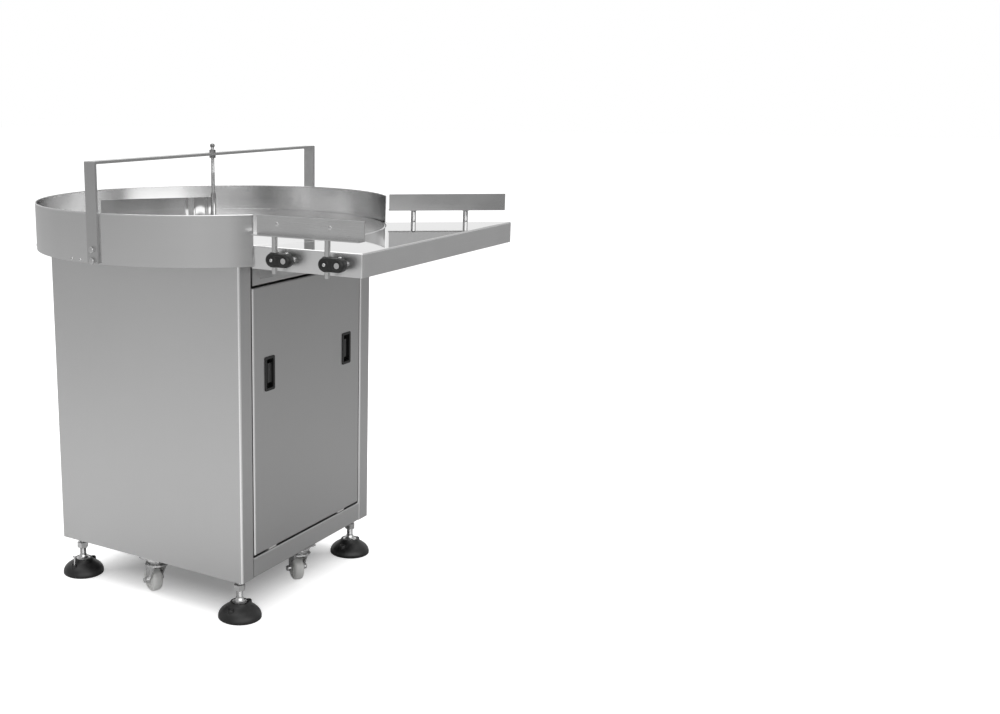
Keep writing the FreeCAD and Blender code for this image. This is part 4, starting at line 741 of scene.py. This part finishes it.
# The floor as metal sees it: factors on its level on the front right side and on the rear left side.
BRIGHT_SIDE = (-0.78, 0.62, 0.0)
SIDE_REACH = 0.6
MIRRORED_DARK = 0.68
MIRRORED_BRIGHT = 1.15

# One large lamp above the table, and the point that it looks at.
LAMP_PLACE = (0, 0, 4.2)
LAMP_SIZE = 4.5
LAMP_POWER = 118
LAMP_TARGET = (0, 0, 0.55)

# The camera as fitted to the photograph, with its turns in radians.
CAMERA_PLACE = (-2.33908, -1.79129, 1.17257)
YAW = 0.965
PITCH = 0.2138
ROLL = -0.0066
SENSOR = 36
LENS = 44.01
SHIFT = 0.227


def floor():
    """A pale floor, lifted to white for the camera away from the object, so that its shadow stays; the
    smaller lift near the axis adds painted shade to that shadow.
    """
    bm = bmesh.new()
    bmesh.ops.create_grid(bm, x_segments=1, y_segments=1, size=FLOOR_SIZE)
    mesh = bpy.data.meshes.new("floor")
    bm.to_mesh(mesh)
    bm.free()
    ground = bpy.data.objects.new("floor", mesh)
    scene.collection.objects.link(ground)
    material = bpy.data.materials.new("floor_white")
    tree = Tree(material)
    light_path = tree.add("LightPath").outputs
    seen = tree.math("MAXIMUM", light_path["Is Camera Ray"], light_path["Is Transmission Ray"])
    spot = tree.add("TexCoord").outputs["Object"]
    axes = tree.add("SeparateXYZ", Vector=spot).outputs
    away = tree.math("MAXIMUM", tree.math("ABSOLUTE", axes["X"]), tree.math("ABSOLUTE", axes["Y"]))
    # Less lift in a square round the axis: painted shade that deepens and shapes the object's real shadow.
    lift = tree.math("MULTIPLY", seen, tree.ramp(away, FADE_START, FADE_END, LIFT_NEAR, LIFT_FAR))
    side = tree.dot(spot, BRIGHT_SIDE)
    share = tree.ramp(side, -SIDE_REACH, SIDE_REACH, MIRRORED_DARK, MIRRORED_BRIGHT)
    change = tree.math("MULTIPLY", light_path["Is Glossy Ray"], tree.math("SUBTRACT", share, 1.0))
    level = tree.math("MULTIPLY", tree.math("ADD", change, 1.0), FLOOR_LEVEL)
    diffuse = tree.add("BsdfDiffuse", Color=tree.add("CombineXYZ", X=level, Y=level, Z=level).outputs[0])
    glow = tree.add("Emission", Strength=lift)
    both = tree.add("AddShader")
    tree.feed(both, 0, diffuse.outputs[0])
    tree.feed(both, 1, glow.outputs[0])
    tree.surface(both.outputs[0])
    mesh.materials.append(material)


def lamp():
    """A large soft lamp aimed at the middle of the table."""
    data = bpy.data.lights.new("lamp_top", "AREA")
    data.shape = "RECTANGLE"
    data.size = LAMP_SIZE
    data.size_y = LAMP_SIZE
    data.energy = LAMP_POWER
    item = bpy.data.objects.new("lamp_top", data)
    item.location = LAMP_PLACE
    item.rotation_euler = (Vector(LAMP_TARGET) - Vector(LAMP_PLACE)).to_track_quat("-Z", "Y").to_euler()
    item.visible_camera = False
    scene.collection.objects.link(item)


def surroundings():
    """White for the camera; for metal also a white backdrop and a broad low light on the camera's side."""
    world = bpy.data.worlds.new("studio")
    scene.world = world
    tree = Tree(world)
    light_path = tree.add("LightPath").outputs
    seen = tree.math("MAXIMUM", light_path["Is Camera Ray"], light_path["Is Transmission Ray"])
    direction = tree.add("TexCoord").outputs["Generated"]
    behind = tree.math("POWER", tree.math("MAXIMUM", tree.dot(direction, BACKDROP), 0.0), 2.0)
    wall = tree.math("MULTIPLY", behind, 1 - PLAIN)
    wide = tree.ramp(tree.dot(direction, CAMERA_SIDE), *SOFTBOX_SIDE)
    raised = tree.ramp(tree.add("SeparateXYZ", Vector=direction).outputs["Z"], *SOFTBOX_HEIGHT)
    softbox = tree.math("MULTIPLY", tree.math("MULTIPLY", wide, raised), SOFTBOX)
    mirrored = tree.math("MULTIPLY", tree.math("ADD", wall, softbox), light_path["Is Glossy Ray"])
    white = tree.math("MULTIPLY", seen, 1 - PLAIN)
    strength = tree.math("ADD", tree.math("ADD", white, mirrored), PLAIN)
    background = tree.add("Background", Color=(1, 1, 1, 1), Strength=strength)
    tree.add("OutputWorld", Surface=background.outputs[0])


def camera():
    """The camera, at the photograph's viewing angle."""
    forward = Vector((math.sin(YAW) * math.cos(PITCH), math.cos(YAW) * math.cos(PITCH), -math.sin(PITCH)))
    right = Vector((math.cos(YAW), -math.sin(YAW), 0))
    up = right.cross(forward)
    across = right * math.cos(ROLL) + up * math.sin(ROLL)
    upwards = up * math.cos(ROLL) - right * math.sin(ROLL)
    data = bpy.data.cameras.new("camera")
    data.sensor_width = SENSOR
    data.lens = LENS
    data.shift_x = SHIFT
    item = bpy.data.objects.new("camera", data)
    axes = Matrix((across, upwards, -forward)).transposed().to_4x4()
    item.matrix_world = Matrix.Translation(Vector(CAMERA_PLACE)) @ axes
    scene.collection.objects.link(item)
    scene.camera = item


floor()
lamp()
surroundings()
camera()
scene.view_settings.view_transform = "Standard"
